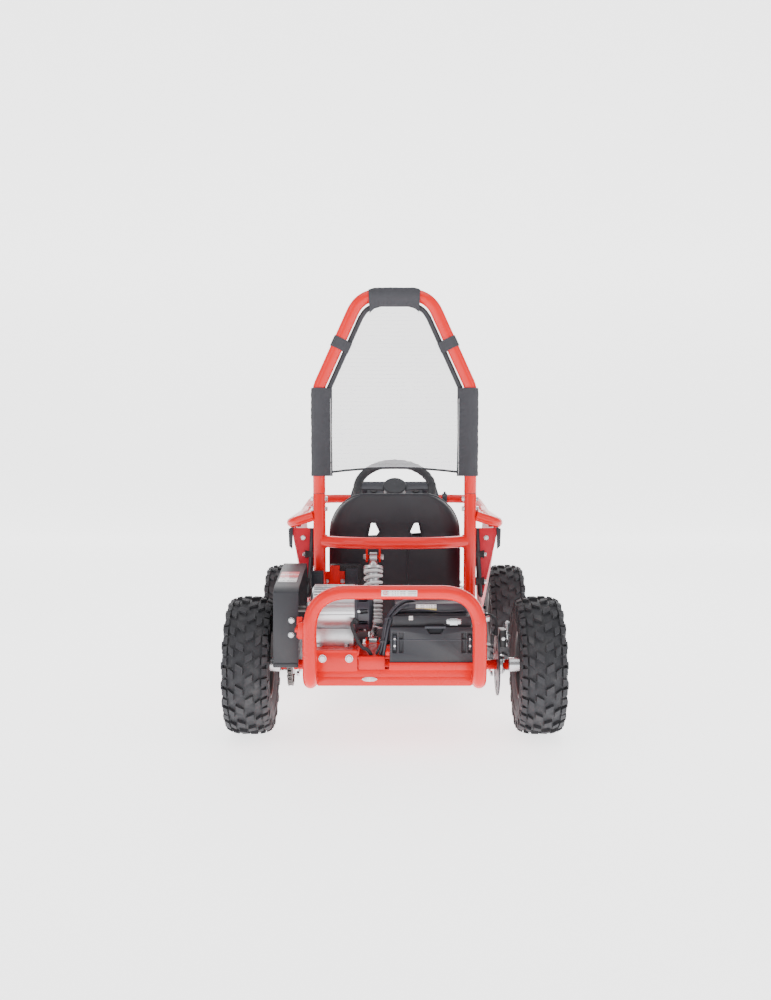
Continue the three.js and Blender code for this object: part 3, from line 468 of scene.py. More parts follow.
# %% [markdown]
# ## Writing materials as sums
# Node trees are easier to read as arithmetic. `Sum` wraps one node output, so that `noise * 0.3 + 0.1`
# adds the two Math nodes it needs.

# %% Shader sums
class Sum:
    """One output of a shader node, with + - *."""

    def __init__(self, shader, socket):
        self.shader = shader
        self.socket = socket

    def _math(self, operation, first, second):
        return self.shader.node("ShaderNodeMath", 0, operation=operation, inputs={0: first, 1: second})

    def __add__(self, other):
        return self._math("ADD", self, other)

    def __sub__(self, other):
        return self._math("SUBTRACT", self, other)

    def __mul__(self, other):
        return self._math("MULTIPLY", self, other)

    def __rsub__(self, other):
        return self._math("SUBTRACT", other, self)

    __radd__ = __add__

    def wave(self):
        return self._math("SINE", self, 0)

    def ramp(self, low, high):
        """0 below low, 1 above high, and a smooth rise between."""
        inputs = {"Value": self, "From Min": low, "From Max": high}
        return self.shader.node("ShaderNodeMapRange", 0, interpolation_type="SMOOTHSTEP", inputs=inputs)


class Shader:
    """A material under construction."""

    def __init__(self, name, slot):
        self.material = bpy.data.materials.new(name)
        self.material["slot"] = slot
        self.material.use_nodes = True
        self.tree = self.material.node_tree
        self.surface = self.tree.nodes["Principled BSDF"]
        self.place = self.node("ShaderNodeTexCoord", "Object")

    def node(self, kind, output, inputs=None, **settings):
        node = self.tree.nodes.new(kind)
        for key, value in settings.items():
            setattr(node, key, value)
        for key, value in (inputs or {}).items():
            self.feed(node.inputs[key], value)
        return Sum(self, node.outputs[output])

    def feed(self, socket, value):
        if isinstance(value, Sum):
            self.tree.links.new(value.socket, socket)
        elif isinstance(value, (tuple, list)) and len(socket.default_value) == 4:
            socket.default_value = (*value[:3], 1)
        else:
            socket.default_value = value

    def noise(self, scale, detail=3, rough=0.55, where=None):
        inputs = {"Vector": where or self.place, "Scale": scale, "Detail": detail, "Roughness": rough}
        return self.node("ShaderNodeTexNoise", 0, inputs=inputs)

    def cells(self, scale, where=None, output="Distance"):
        inputs = {"Vector": where or self.place, "Scale": scale}
        return self.node("ShaderNodeTexVoronoi", output, inputs=inputs)

    def stretched(self, x, y, z):
        inputs = {0: self.place, 1: (x, y, z)}
        return self.node("ShaderNodeVectorMath", 0, operation="MULTIPLY", inputs=inputs)

    def part(self, letter):
        return self.node("ShaderNodeSeparateXYZ", letter, inputs={0: self.place})

    def blend(self, factor, first, second):
        """One colour turning into another."""
        node = self.tree.nodes.new("ShaderNodeMix")
        node.data_type = "RGBA"
        self.feed(node.inputs["Factor"], factor)
        self.feed(node.inputs[6], first)
        self.feed(node.inputs[7], second)
        return Sum(self, node.outputs[2])

    def bump(self, height, strength, distance=0.001):
        inputs = {"Height": height, "Strength": strength, "Distance": distance}
        return self.node("ShaderNodeBump", 0, inputs=inputs)

    def finish(self, **values):
        names = {"color": "Base Color", "coat": "Coat Weight", "coat_rough": "Coat Roughness",
                 "specular_ior_level": "Specular IOR Level"}
        for key, value in values.items():
            label = names.get(key, key.replace("_", " ").title())
            self.feed(self.surface.inputs[label], value)
        return self.material


print("shader sums ready")

# %% [markdown]
# ## Materials
# Real paint is never one flat colour. Each material below mixes a base colour with a second one by
# noise, lets dust settle low down, and breaks up its gloss.

# %% Paint and plastic
def dusty(shader, color, dust_color, amount=0.35, top=0.35):
    """Road dust: strongest near the ground, and in patches."""
    height = 1 - shader.part("Z").ramp(0.0, top)
    patches = shader.noise(9, 4).ramp(0.4, 0.75)
    return shader.blend(height * patches * amount, color, dust_color)


def red_paint():
    s = Shader("red_powder_coat", "frame_red")
    tone = s.blend(s.noise(3.5, 2), (0.72, 0.003, 0.004), (0.82, 0.008, 0.008))
    flakes = s.noise(900, 2)
    color = dusty(s, tone, (0.42, 0.05, 0.035), 0.18)
    rough = 0.20 + s.noise(40, 3) * 0.10 + s.noise(6, 3).ramp(0.5, 0.8) * 0.08
    skin = s.bump(s.noise(260, 2) + flakes * 0.2, 0.06, 0.0006)
    gloss = {"coat": 0.10, "coat_rough": 0.06, "specular_ior_level": 0.30}
    return s.finish(color=color, roughness=rough, normal=skin, **gloss)


def red_plastic():
    s = Shader("red_panel_plastic", "panel_red")
    tone = s.blend(s.noise(5, 3), (0.56, 0.010, 0.030), (0.68, 0.018, 0.045))
    color = dusty(s, tone, (0.38, 0.08, 0.07), 0.18, 0.6)
    scratches = s.noise(60, 5, 0.7, s.stretched(1, 0.06, 1)).ramp(0.56, 0.72)
    rough = 0.34 + scratches * 0.18 + s.noise(12, 3) * 0.08
    skin = s.bump(s.noise(420, 2) + scratches * 0.3, 0.08, 0.0004)
    gloss = {"coat": 0.05, "coat_rough": 0.3, "specular_ior_level": 0.30}
    return s.finish(color=color, roughness=rough, normal=skin, **gloss)


def black_plastic(name="black_moulding", base=0.013, grain=700, gloss=0.40):
    s = Shader(name, "black_plastic")
    light = base * 1.75
    tone = s.blend(s.noise(4, 4), (base, base * 1.05, base * 1.45), (light, light * 1.05, light * 1.4))
    color = dusty(s, tone, (0.09, 0.087, 0.085), 0.35, 0.5)
    scuffs = s.noise(45, 6, 0.75, s.stretched(1, 0.15, 1)).ramp(0.58, 0.75)
    rough = gloss + s.noise(18, 4) * 0.16 + scuffs * 0.12
    leather = s.cells(grain) + s.noise(grain * 1.6, 2) * 0.5
    return s.finish(color=color, roughness=rough, normal=s.bump(leather, 0.22, 0.0004))


def black_steel():
    s = Shader("black_enamel", "black_steel")
    tone = s.blend(s.noise(7, 4), (0.018, 0.018, 0.021), (0.040, 0.040, 0.045))
    chips = s.noise(130, 5, 0.8).ramp(0.70, 0.76)
    color = s.blend(chips, dusty(s, tone, (0.13, 0.115, 0.10), 0.5), (0.25, 0.24, 0.23))
    rough = 0.30 + s.noise(25, 4) * 0.25
    skin = s.bump(s.noise(300, 3) - chips * 0.8, 0.12, 0.0005)
    return s.finish(color=color, roughness=rough, metallic=chips * 0.8, normal=skin)


RED = red_paint()
PANEL = red_plastic()
PLASTIC = black_plastic()
SMOOTH_BLACK = black_plastic("smooth_black_moulding", 0.022, 1200, 0.30)
STEEL = black_steel()
print("paint and plastic ready")

# %% [markdown]
# Bare and plated metals: fine brushing, stains, and for zinc the pale crystals of its plating.

# %% Metals
def metal(name, slot, dark, light, rough, brushed):
    s = Shader(name, slot)
    streaks = s.noise(220, 4, 0.7, s.stretched(*brushed))
    spangle = s.cells(55, output="Color")
    stain = s.noise(14, 5, 0.65).ramp(0.52, 0.80)
    tone = s.blend(streaks, dark, light)
    color = s.blend(stain * 0.45, tone, (0.33, 0.32, 0.30))
    level = rough + streaks * 0.16 + stain * 0.22
    skin = s.bump(streaks + s.node("ShaderNodeSeparateColor", 0, inputs={0: spangle}) * 0.15, 0.10, 0.0004)
    return s.finish(color=color, roughness=level, metallic=0.92, normal=skin)


ZINC = metal("zinc_plate", "zinc", (0.52, 0.53, 0.56), (0.74, 0.75, 0.77), 0.18, (0.1, 1, 1))
ALLOY = metal("cast_alloy", "alloy", (0.60, 0.61, 0.63), (0.82, 0.83, 0.85), 0.26, (1, 1, 1))
OILED = (0.07, 0.07, 0.075)
WORN = (0.22, 0.21, 0.20)
DARK_METAL = metal("oiled_chain_steel", "black_steel", OILED, WORN, 0.30, (1, 1, 1))


def white_enamel():
    s = Shader("white_spring_enamel", "spring_white")
    tone = s.blend(s.noise(30, 4), (0.78, 0.78, 0.79), (0.90, 0.90, 0.91))
    grime = s.noise(45, 5, 0.7).ramp(0.55, 0.8)
    color = s.blend(grime * 0.35, tone, (0.35, 0.33, 0.30))
    return s.finish(color=color, roughness=0.28 + grime * 0.3, normal=s.bump(s.noise(400, 2), 0.05, 0.0003))


SPRING = white_enamel()
print("metals ready")

# %% [markdown]
# Rubber is matt and dusty. Cloth takes its look from two sets of crossing threads.

# %% Rubber and cloth
def rubber():
    s = Shader("tyre_rubber", "tyre_rubber")
    tone = s.blend(s.noise(18, 5), (0.016, 0.016, 0.020), (0.036, 0.036, 0.041))
    dust = s.noise(26, 5, 0.7).ramp(0.45, 0.75)
    color = s.blend(dust * 0.45, tone, (0.085, 0.082, 0.082))
    rough = 0.62 + s.noise(70, 4) * 0.25
    return s.finish(color=color, roughness=rough, normal=s.bump(s.noise(520, 4, 0.7), 0.25, 0.0005))


def woven(name, first, second, scale, rough=0.8):
    """Cloth: two sets of threads that pass over and under each other."""
    s = Shader(name, "net_fabric")
    warp = (s.part("X") * scale).wave()
    weft = (s.part("Z") * scale).wave()
    thread = (warp * weft) * 0.5 + 0.5
    wear = s.noise(22, 5)
    tone = s.blend(thread * 0.6 + wear * 0.4, first, second)
    return s.finish(color=tone, roughness=rough + wear * 0.15, normal=s.bump(thread + wear, 0.35, 0.0006))


def net_cloth():
    """Knitted mesh: round holes between threads, so most light goes through."""
    s = Shader("white_mesh", "net_fabric")
    across = (s.part("X") * 1500 + s.part("Z") * 866).wave()
    other = (s.part("X") * 1500 - s.part("Z") * 866).wave()
    thread = (across * other).ramp(-0.35, 0.55)
    knit = s.noise(900, 2)
    color = s.blend(knit, (0.62, 0.62, 0.65), (0.86, 0.86, 0.88))
    alpha = thread * 0.62 + 0.22
    skin = s.bump(thread, 0.3, 0.0004)
    return s.finish(color=color, roughness=0.75 + knit * 0.15, alpha=alpha, normal=skin)


RUBBER = rubber()
BLACK_CLOTH = woven("black_webbing", (0.022, 0.022, 0.027), (0.070, 0.070, 0.080), 5200)
PIPING = woven("black_piping", (0.012, 0.012, 0.014), (0.035, 0.035, 0.040), 9000, 0.7)
NET = net_cloth()
print("rubber and cloth ready")

# %% [markdown]
# Labels are pale, with printed bars in place of words.

# %% Labels and small colours
def sticker(name, ground, mark, scale):
    """A label with printed bars that stand for its words."""
    s = Shader(name, "net_fabric")
    rows = ((s.part("Z") * scale).wave()).ramp(0.15, 0.35)
    words = s.noise(160, 1, 0.4, s.stretched(1, 1, 0.05)).ramp(0.46, 0.52)
    color = s.blend(rows * words * 0.75, ground, mark)
    return s.finish(color=color, roughness=0.32 + s.noise(40, 3) * 0.12, coat=0.3)


LABEL = sticker("white_label", (0.85, 0.85, 0.85), (0.10, 0.10, 0.12), 1500)
YELLOW_LABEL = sticker("yellow_label", (0.80, 0.62, 0.10), (0.06, 0.06, 0.06), 1500)
RED_LABEL = sticker("red_label", (0.75, 0.10, 0.12), (0.85, 0.80, 0.80), 1100)
print("materials:", len(bpy.data.materials))

# %% [markdown]
# ## The main lines
# The frame's tubes all start from a few lines, in millimetres. The ones that can be read from the
# packed boxes are; the rest are the tube bends that the boxes can't show.

# %% Main lines
class Span:
    """A node's box, in millimetres."""

    def __init__(self, node):
        low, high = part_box(node)
        self.x0, self.y0, self.z0 = (v / MM for v in low)
        self.x1, self.y1, self.z1 = (v / MM for v in high)
        self.cx, self.cy, self.cz = ((a + b) / 2 for a, b in zip(self.low(), self.high()))

    def low(self):
        return self.x0, self.y0, self.z0

    def high(self):
        return self.x1, self.y1, self.z1


rear_tyre, front_tyre = Span("rear_tyre_right"), Span("front_tyre_right")
TYRE_R = 177.5
TRACK = rear_tyre.cx
AXLE_Y, STUB_Y = rear_tyre.cy, front_tyre.cy
AXLE_Z = rear_tyre.z0 + TYRE_R
FRAME_OD, RAIL_OD = 34, 28
UPRIGHT_X = Span("roll_hoop").x1 - FRAME_OD / 2
UPRIGHT_X = 208 if abs(UPRIGHT_X - 208) < 2 else UPRIGHT_X
RAIL_Z, JOINT_Z, KNEE_Z, TOP_Z, TOP_X = 130, 620, 907, 1156, 93
ARM_X, ARM_Z = 130, 176
PIVOT = (-215, 178)


def hoop_y(z):
    """The uprights and the hoop lean back together."""
    return -205 - 0.1222 * (z - 170)


def on_hoop(x, z, off=0):
    return (x, hoop_y(z) + off, z)


print("track", round(TRACK), "axle", round(AXLE_Y), "stub", round(STUB_Y), "uprights", UPRIGHT_X)

# %% [markdown]
# ## Bolts and welds
# A bolt is a hexagon with a turned washer under it, so the same small form serves everywhere. A weld
# is a bead that follows the joint, a little thicker and thinner as it goes.

# %% Bolt and weld forms
def bolt(across, height, washer=0.0, thread=0.0):
    """A hexagon head on a washer, standing on z = 0; thread is how far the end shows past it."""
    radius = across / 2 / math.cos(math.pi / 6)
    levels = [(0.0, 1.0), (height * 0.8, 1.0), (height, 0.88)]
    head = rings([circle((0, 0, t + 1.6), (0, 0, 1), radius * k, 6) for t, k in levels])
    parts = [head, turned([(0, 0), (across * 0.62 + washer, 0), (across * 0.62 + washer, 1.6), (0, 1.6)],
                          sides=20, axis=(0, 0, 1))]
    if thread:
        parts.append(bar((0, 0, height), (0, 0, height + thread), across * 0.28, 12))
    return join(*parts)


def weld(centre, axis, radius, bead=2.4):
    run = circle(centre, axis, radius, 60)
    beads = [bead * (1 + 0.2 * math.sin(k * 2.1)) for k in range(60)]
    return sweep(run, beads, 6, closed=True)


print("bolt faces", len(bolt(13, 6).faces), "weld faces", len(weld((0, 0, 0), (1, 0, 0), 17).faces))

# %% [markdown]
# ## The floor frame
# Two rails run forwards and draw together past the driver's legs. A front and a rear cross tube tie
# them, and lugs on top carry the front arms' pins.

# %% Floor frame
rail_path = [(UPRIGHT_X, -212, RAIL_Z), (UPRIGHT_X, 60, RAIL_Z), (ARM_X, 300, RAIL_Z), (ARM_X, 598, RAIL_Z)]


def arm_lug(y):
    outline = [(y - 3, RAIL_Z), (y + 3, RAIL_Z), (y + 3, ARM_Z + 16), (y - 3, ARM_Z + 16)]
    return plate(outline, ARM_X - 16, ARM_X + 16)


side_frame = join(
    tube(rail_path, FRAME_OD, 120, 32),
    arm_lug(424),
    arm_lug(526),
    bar((ARM_X, 424, ARM_Z), (ARM_X, 526, ARM_Z), 7.6),
    weld((ARM_X, 424, RAIL_Z + 16), (0, 0, 1), 9),
    weld((ARM_X, 526, RAIL_Z + 16), (0, 0, 1), 9),
)
floor_frame = join(
    both_sides(side_frame),
    bar((-UPRIGHT_X, -160, RAIL_Z), (UPRIGHT_X, -160, RAIL_Z), 17),
    both_sides(weld((UPRIGHT_X - 16, -160, RAIL_Z), (1, 0, 0), 17)),
    bar((-ARM_X, 594, RAIL_Z), (ARM_X, 594, RAIL_Z), 14),
    slab(-16, 16, 588, 606, RAIL_Z, 206),
    slab(-16, 16, 564, 590, 178, 204),
    slab(-58, 58, 536, 539, 170, 214),
    slab(-58, 58, 565, 568, 170, 214),
    slab(-58, 58, 536, 568, 209, 214),
)
piece("floor_frame_tubes", floor_frame, RED, "chassis", "floor_frame", edge=0)
print("floor frame", len(made["floor_frame_tubes"].data.polygons), "faces")

# %% [markdown]
# The floor is one sheet with pressed ribs, and carries the lugs that the pedals turn in.

# %% Floor pan with raised ribs
PAN_LOW = RAIL_Z + FRAME_OD / 2 + 0.3
pan_half = [
    (UPRIGHT_X - 6, -120), (UPRIGHT_X - 6, 50), (ARM_X - 6, 290), (ARM_X - 30, 400), (ARM_X - 30, 560),
]
pan_outline = pan_half + [(-x, y) for x, y in reversed(pan_half)]
pan_form = rings([[Vector((x, y, z)) for x, y in pan_outline] for z in (PAN_LOW, PAN_LOW + 3)])
ribs = [slab(x - 4, x + 4, -60, 380, PAN_LOW + 2.9, PAN_LOW + 5) for x in (-75, -25, 25, 75)]
lugs = [
    slab(s * 74 + t - 2, s * 74 + t + 2, 512, 528, PAN_LOW + 1, 175) for s in (-1, 1) for t in (-18, 18)
]
pins = [bar((s * 74 - 18, 520, 166), (s * 74 + 18, 520, 166), 3.6) for s in (-1, 1)]
piece("floor_sheet", join(pan_form, *ribs, *lugs, *pins), STEEL, "chassis", "floor_pan", edge=0.8)
print("pan ribs", len(ribs))

# %% [markdown]
# ## Uprights and roll hoop
# The hoop is a separate tube that plugs into the uprights and is held by two bolts on each side. The
# thin dark line at the joint is a spigot that is a little smaller than both tubes.

# %% Uprights and hoop
upright = join(
    bar(on_hoop(UPRIGHT_X, 149), on_hoop(UPRIGHT_X, JOINT_Z), 17, 40),
    bar((UPRIGHT_X, *PIVOT), (150, *PIVOT), 8),
    weld(on_hoop(UPRIGHT_X, 150), (0, -0.1222, 1), 16.5),
)
piece("upright_tube_right", upright, RED, "chassis", "upright_right", edge=0.5)
piece("upright_tube_left", upright.mirrored(), RED, "chassis", "upright_left", edge=0.5)

hoop_half = [on_hoop(UPRIGHT_X, JOINT_Z + 1.2), on_hoop(UPRIGHT_X, KNEE_Z), on_hoop(TOP_X, TOP_Z)]
hoop_corners = [(-x, y, z) for x, y, z in hoop_half] + list(reversed(hoop_half))
hoop_run = rounded(hoop_corners, 80, 12)
piece("roll_hoop_tube", sweep(hoop_run, 17, 40), RED, "chassis", "roll_hoop", edge=0.5)
spigot = bar(on_hoop(UPRIGHT_X, JOINT_Z - 4), on_hoop(UPRIGHT_X, JOINT_Z + 5), 16.2, 32)
piece("hoop_spigots", both_sides(spigot), STEEL, "chassis", edge=0)

joint_bolts = []
for z in (577, 604):
    for side in (-1, 1):
        joint_bolts.append((on_hoop(side * (UPRIGHT_X + 16), z), (side, 0, 0), (0, 0, 1)))
        joint_bolts.append((on_hoop(side * (UPRIGHT_X - 16), z), (-side, 0, 0), (0, 0, 1)))
scatter("hoop_bolts", joint_bolts, bolt(12, 5.5), ZINC, "chassis")
print("hoop bolts", len(joint_bolts))

# %% [markdown]
# ## Cross tube
# It bends backwards to clear the seat, and carries the clevis for the single rear shock.

# %% Cross tube
SHOCK_X = -58
SHOCK_TOP, SHOCK_LOW = (-292, 447), (-352, 224)
CROSS_Z = 486
cross_half = [
    (UPRIGHT_X - 14, hoop_y(CROSS_Z) - 5, CROSS_Z),
    (130, hoop_y(CROSS_Z) - 52, CROSS_Z),
    (70, hoop_y(CROSS_Z) - 74, CROSS_Z),
]
cross_path = [(-x, y, z) for x, y, z in cross_half] + list(reversed(cross_half))


def clevis(x, outline):
    return plate(outline, x, x + 5)


upper_ear = [(-324, 486), (-315, 442), (-308, 434), (-284, 433), (-276, 442), (-296, 486)]
cross = join(
    tube(cross_path, 32, 70, 36),
    clevis(SHOCK_X - 20, upper_ear),
    clevis(SHOCK_X + 15, upper_ear),
    bar((SHOCK_X - 21, *SHOCK_TOP), (SHOCK_X + 21, *SHOCK_TOP), 5.4),
    both_sides(weld((UPRIGHT_X - 17.5, hoop_y(CROSS_Z) - 3, CROSS_Z), (1, 0.35, 0), 16.5)),
)
piece("cross_tube_bent", cross, RED, "chassis", "cross_tube", edge=0)
shock_bolts = [
    ((SHOCK_X + s * 20, *SHOCK_TOP), (s, 0, 0), (0, 0, 1)) for s in (-1, 1)
]
scatter("shock_top_bolts", shock_bolts, bolt(13, 6), ZINC, "chassis")
print("cross tube at", CROSS_Z)

# %% [markdown]
# ## Side rails, dash bar and front tubes
# These are all bent tubes again. They carry the side panels, the dash and the nose.

# %% Side rails and dash bar
side_path = [
    (UPRIGHT_X + 14, hoop_y(559) + 4, 557.5),
    (289, hoop_y(559) + 22, 536),
    (289, 240, 540),
    (286, 300, 549),
]
side_rail = join(
    tube(side_path, RAIL_OD, 45, 32),
    weld((UPRIGHT_X + 16.5, hoop_y(559) + 4, 557), (1, 0.2, -0.28), 14.5),
)
piece("side_tube_right", side_rail, RED, "chassis", "side_rail_right", edge=0)
piece("side_tube_left", side_rail.mirrored(), RED, "chassis", "side_rail_left", edge=0)

dash_half = [(286, 301, 549.3), (270, 400, 580), (200, 405, 582)]
dash_path = [(-x, y, z) for x, y, z in dash_half] + list(reversed(dash_half))
stay_path = [(150, 404, 582), (150, 562, 440), (ARM_X, 590, 240), (ARM_X, 590, 148)]
dash = join(
    tube(dash_path, RAIL_OD, 60, 32),
    both_sides(tube(stay_path, 22, 60, 24)),
    both_sides(weld((150, 415, 573), (0, 0.74, -0.67), 11.5)),
)
piece("dash_tubes", dash, RED, "chassis", "dash_bar", edge=0)
clamp_at = (0, 405, 582)
clamp = join(
    turned(band(14.3, 18, 158, 174), clamp_at, 36),
    slab(160, 172, 398, 410, 561, 566),
    slab(163, 170, 400, 408, 598, 606),
)
piece("dash_clamp", clamp, SMOOTH_BLACK, "chassis", edge=0.8)
print("dash bar and stays", len(made["dash_tubes"].data.polygons), "faces")

# %% [markdown]
# The front end: the tower that holds both dampers, the column bearing, and the front bumper.

# %% Shock tower, column bearing and front bumper
COLUMN_TILT = math.radians(41)
WHEEL_HUB = Vector((0, 220, 622))
COLUMN = Vector((0, math.sin(COLUMN_TILT), -math.cos(COLUMN_TILT)))


def column_at(t):
    return WHEEL_HUB + COLUMN * t


tower_half = [(ARM_X - 4, STUB_Y, 148), (ARM_X - 4, STUB_Y, 440)]
tower_path = [(-x, y, z) for x, y, z in tower_half] + list(reversed(tower_half))
tab = [(122, 411), (170, 411), (174, 415), (174, 437), (170, 441), (122, 441)]
tower = join(
    tube(tower_path, 26, 50, 32),
    both_sides(plate_xz(tab, STUB_Y - 16, STUB_Y - 12)),
    both_sides(plate_xz(tab, STUB_Y + 12, STUB_Y + 16)),
    both_sides(bar((160, STUB_Y - 22, 425), (160, STUB_Y + 22, 425), 4.9)),
    turned(band(9.9, 17, 368, 396), WHEEL_HUB, 40, COLUMN),
    slab(-9, 9, STUB_Y - 6, STUB_Y + 4, 350, 430),
)
piece("tower_tubes", tower, RED, "chassis", "shock_tower", edge=0.5)

bumper_half = [(118, 611.5, 148), (150, 640, 190), (165, 647.3, 320)]
bumper_path = [(-x, y, z) for x, y, z in bumper_half] + list(reversed(bumper_half))
bumper = join(
    tube(bumper_path, RAIL_OD, 60, 32),
    bar((-157, 644, 245), (157, 644, 245), 10),
    both_sides(weld((150, 644, 245), (1, 0, 0), 10)),
    both_sides(bar((112, 594, 162), (112, 628, 176), 9)),
)
piece("front_bumper_tubes", bumper, RED, "chassis", "front_bumper", edge=0)
tower_bolts = [((s * 160, STUB_Y + t * 16, 425), (0, t, 0), (0, 0, 1)) for s in (-1, 1) for t in (-1, 1)]
scatter("tower_bolts", tower_bolts, bolt(11, 5), ZINC, "chassis")
print("tower bolts", len(tower_bolts))

# %% [markdown]
# ## The seat
# A moulded bucket seat is a thin shell whose section is a wide U. The section changes up the back, so
# the shell is skinned through stations and smoothed between them.

# %% Seat shell
def smooth_rows(rows, steps):
    """Extra rows on a smooth curve through the given ones."""
    rows = [Vector(r) for r in rows]
    out = []
    for i in range(len(rows) - 1):
        p0, p1 = rows[max(i - 1, 0)], rows[i]
        p2, p3 = rows[i + 1], rows[min(i + 2, len(rows) - 1)]
        for k in range(steps):
            t = k / steps
            a, b, c = 2 * p1, p2 - p0, 2 * p0 - 5 * p1 + 4 * p2 - p3
            d = 3 * p1 - p0 - 3 * p2 + p3
            out.append((a + b * t + c * t * t + d * t * t * t) / 2)
    return out + [rows[-1]]


# Each station: how far forward, how high, half its width, how deep its wings are.
seat_stations = [
    (262, 200, 120, 16), (240, 192, 150, 30), (150, 176, 172, 62), (40, 166, 182, 92),
    (-40, 165, 186, 120), (-84, 186, 188, 130), (-104, 250, 190, 128), (-116, 350, 191, 118),
    (-126, 440, 191, 96), (-133, 505, 188, 74), (-137, 540, 178, 58), (-140, 568, 162, 44),
    (-142, 588, 142, 30), (-144, 603, 118, 18), (-145, 610, 98, 8),
]
SEAT_WALL = 4.5


def seat_section(half, wing, inset):
    width = half - inset
    corner = max(min(52, wing * 0.9, half * 0.5) - inset, 1)
    points = [(-width, wing)]
    for k in range(9):
        q = math.pi / 2 * k / 8
        points.append((-width + corner - corner * math.cos(q), inset + corner - corner * math.sin(q)))
    return points + [(-x, d) for x, d in reversed(points)]


def seat_form():
    rows = smooth_rows(seat_stations, 4)
    loops = []
    for i, (y, z, half, wing) in enumerate(rows):
        before, after = rows[max(i - 1, 0)], rows[min(i + 1, len(rows) - 1)]
        along = Vector((after[0] - before[0], after[1] - before[1])).normalized()
        inward = Vector((along.y, -along.x))
        outline = seat_section(half, wing, 0) + list(reversed(seat_section(half, wing, SEAT_WALL)))
        loops.append([Vector((x, y + inward.x * d, z + inward.y * d)) for x, d in outline])
    form = rings(loops)
    form.faces = form.faces[:-2]
    n, last = len(loops[0]), (len(loops) - 1) * len(loops[0])
    for k in range(n // 2 - 1):
        form.faces.append((k, k + 1, n - 2 - k, n - 1 - k))
        form.faces.append(tuple(last + j for j in (k, n - 1 - k, n - 2 - k, k + 1)))
    return form


def seat_slot(side):
    outline = [(-70, 532), (-54, 532), (-42, 506), (-52, 492), (-78, 492)]
    return rings([[Vector((side * x, y, z)) for x, z in outline] for y in (-220, -60)])


seat_feet = join(slab(-118, 118, -61, -43, 150.8, 170), slab(-118, 118, 21, 39, 150.8, 171))
piece(
    "seat_shell", join(seat_form()), PLASTIC, "chassis", "seat", edge=1.2,
    cuts=(seat_slot(1), seat_slot(-1)),
)
piece("seat_feet", seat_feet, PLASTIC, "chassis", edge=1)
print("seat", len(made["seat_shell"].data.polygons), "faces")

# %% [markdown]
# The moulding is stiffened by a rolled rim along its edge, by a lip round each slot and by upright
# ribs on its back. Each follows the same stations as the shell, so it always sits on the surface.

# %% Seat rim, slot lips and ribs
def seat_edge():
    rows = smooth_rows(seat_stations, 4)
    side = []
    for i, (y, z, half, wing) in enumerate(rows):
        before, after = rows[max(i - 1, 0)], rows[min(i + 1, len(rows) - 1)]
        along = Vector((after[0] - before[0], after[1] - before[1])).normalized()
        side.append(Vector((half - 2, y + along.y * wing, z - along.x * wing)))
    return side


rim_run = seat_edge()
rim_all = [Vector((-p.x, p.y, p.z)) for p in rim_run] + list(reversed(rim_run))


def rib(x):
    rows = [r for r in smooth_rows(seat_stations, 4) if 250 < r[1] < 490]
    return sweep([(x, r[0] + 0.5, r[1]) for r in rows], 3.2, 10)


def slot_lip(side):
    outline = [(-70, 532), (-54, 532), (-42, 506), (-52, 492), (-78, 492)]
    run = [Vector((side * x, -134 - (z - 505) * 0.08, z)) for x, z in outline]
    return sweep(run, 3.0, 8, closed=True)


trim = join(sweep(rim_all, 4.2, 12), rib(-37), rib(37), slot_lip(1), slot_lip(-1))
piece("seat_rim_and_ribs", trim, PLASTIC, "chassis", edge=0)
print("rim points", len(rim_all))

# %% [markdown]
# ## Side panels
# Each panel is a thin bowed skin hung under its side rail. At the back it turns inwards, and a soft
# black trim covers the cut edge. Two rubber stand-offs with bright bolts hold that edge.

# %% Side panels
# Each station: how far forward, top and bottom distance from the middle, top and bottom height.
panel_stations = [
    (-214, 288, 246, 521, 330), (-60, 300, 262, 523, 280),
    (150, 300, 262, 524, 285), (262, 290, 270, 527, 420),
]
BOW = 7


def panel_skin():
    loops = []
    for y, top, low, z_top, z_low in smooth_rows(panel_stations, 8):
        face = []
        for k in range(9):
            t = k / 8
            bow = BOW * math.sin(math.pi * t) * 0.6
            face.append((top + (low - top) * t + bow - 4, z_top + (z_low - z_top) * t))
        loop = face + [(x - 4, z) for x, z in reversed(face)]
        loops.append([Vector((x, y, z)) for x, z in loop])
    return rings(loops)


rear_return = [(226, 521), (288, 521), (281, 480), (246, 330), (238, 330), (230, 430)]
trim_run = [(229, -213, 519), (231, -214, 470), (232, -214, 430), (239, -214, 334), (245, -214, 331)]
panel = join(
    panel_skin(),
    plate_xz(rear_return, -213, -209),
    slab(283, 296, -132, -108, 509, 520),
    slab(283, 296, 48, 72, 509, 520),
)
stand_offs = join(*[
    turned([(0, 0), (11, 0), (12, 4), (9, 12), (9, 20), (12, 26), (0, 26)], (224, -213, z), 24)
    for z in (448, 372)
])
trim_piece = join(
    sweep(rounded(trim_run, 30, 6), 6.5, 14),
    plate_xz([(222, 520), (236, 520), (240, 432), (246, 340), (238, 334), (231, 430)], -215.5, -212),
)
wing_piece = plate_xz([(284, 525), (297, 519), (295, 470), (286, 462)], -216, -211)
for side_name, turn_over in (("right", False), ("left", True)):
    for label, form, paint, node, edge in (
        ("side_skin", panel, PANEL, f"side_panel_{side_name}", 1.2),
        ("panel_trim", trim_piece, PLASTIC, None, 0.8),
        ("panel_stand_offs", stand_offs, RUBBER, None, 0.8),
        ("panel_corner", wing_piece, SMOOTH_BLACK, None, 0.8),
    ):
        shape = form.mirrored() if turn_over else form
        piece(f"{label}_{side_name}", shape, paint, "chassis", node or (), edge=edge)
panel_bolts = [((s * 250, -213, z), (s, 0, 0), (0, 0, 1)) for s in (-1, 1) for z in (448, 372)]
panel_bolts += [((s * (262 - 6), -214, z), (0, -1, 0), (0, 0, 1)) for s in (-1, 1) for z in (494,)]
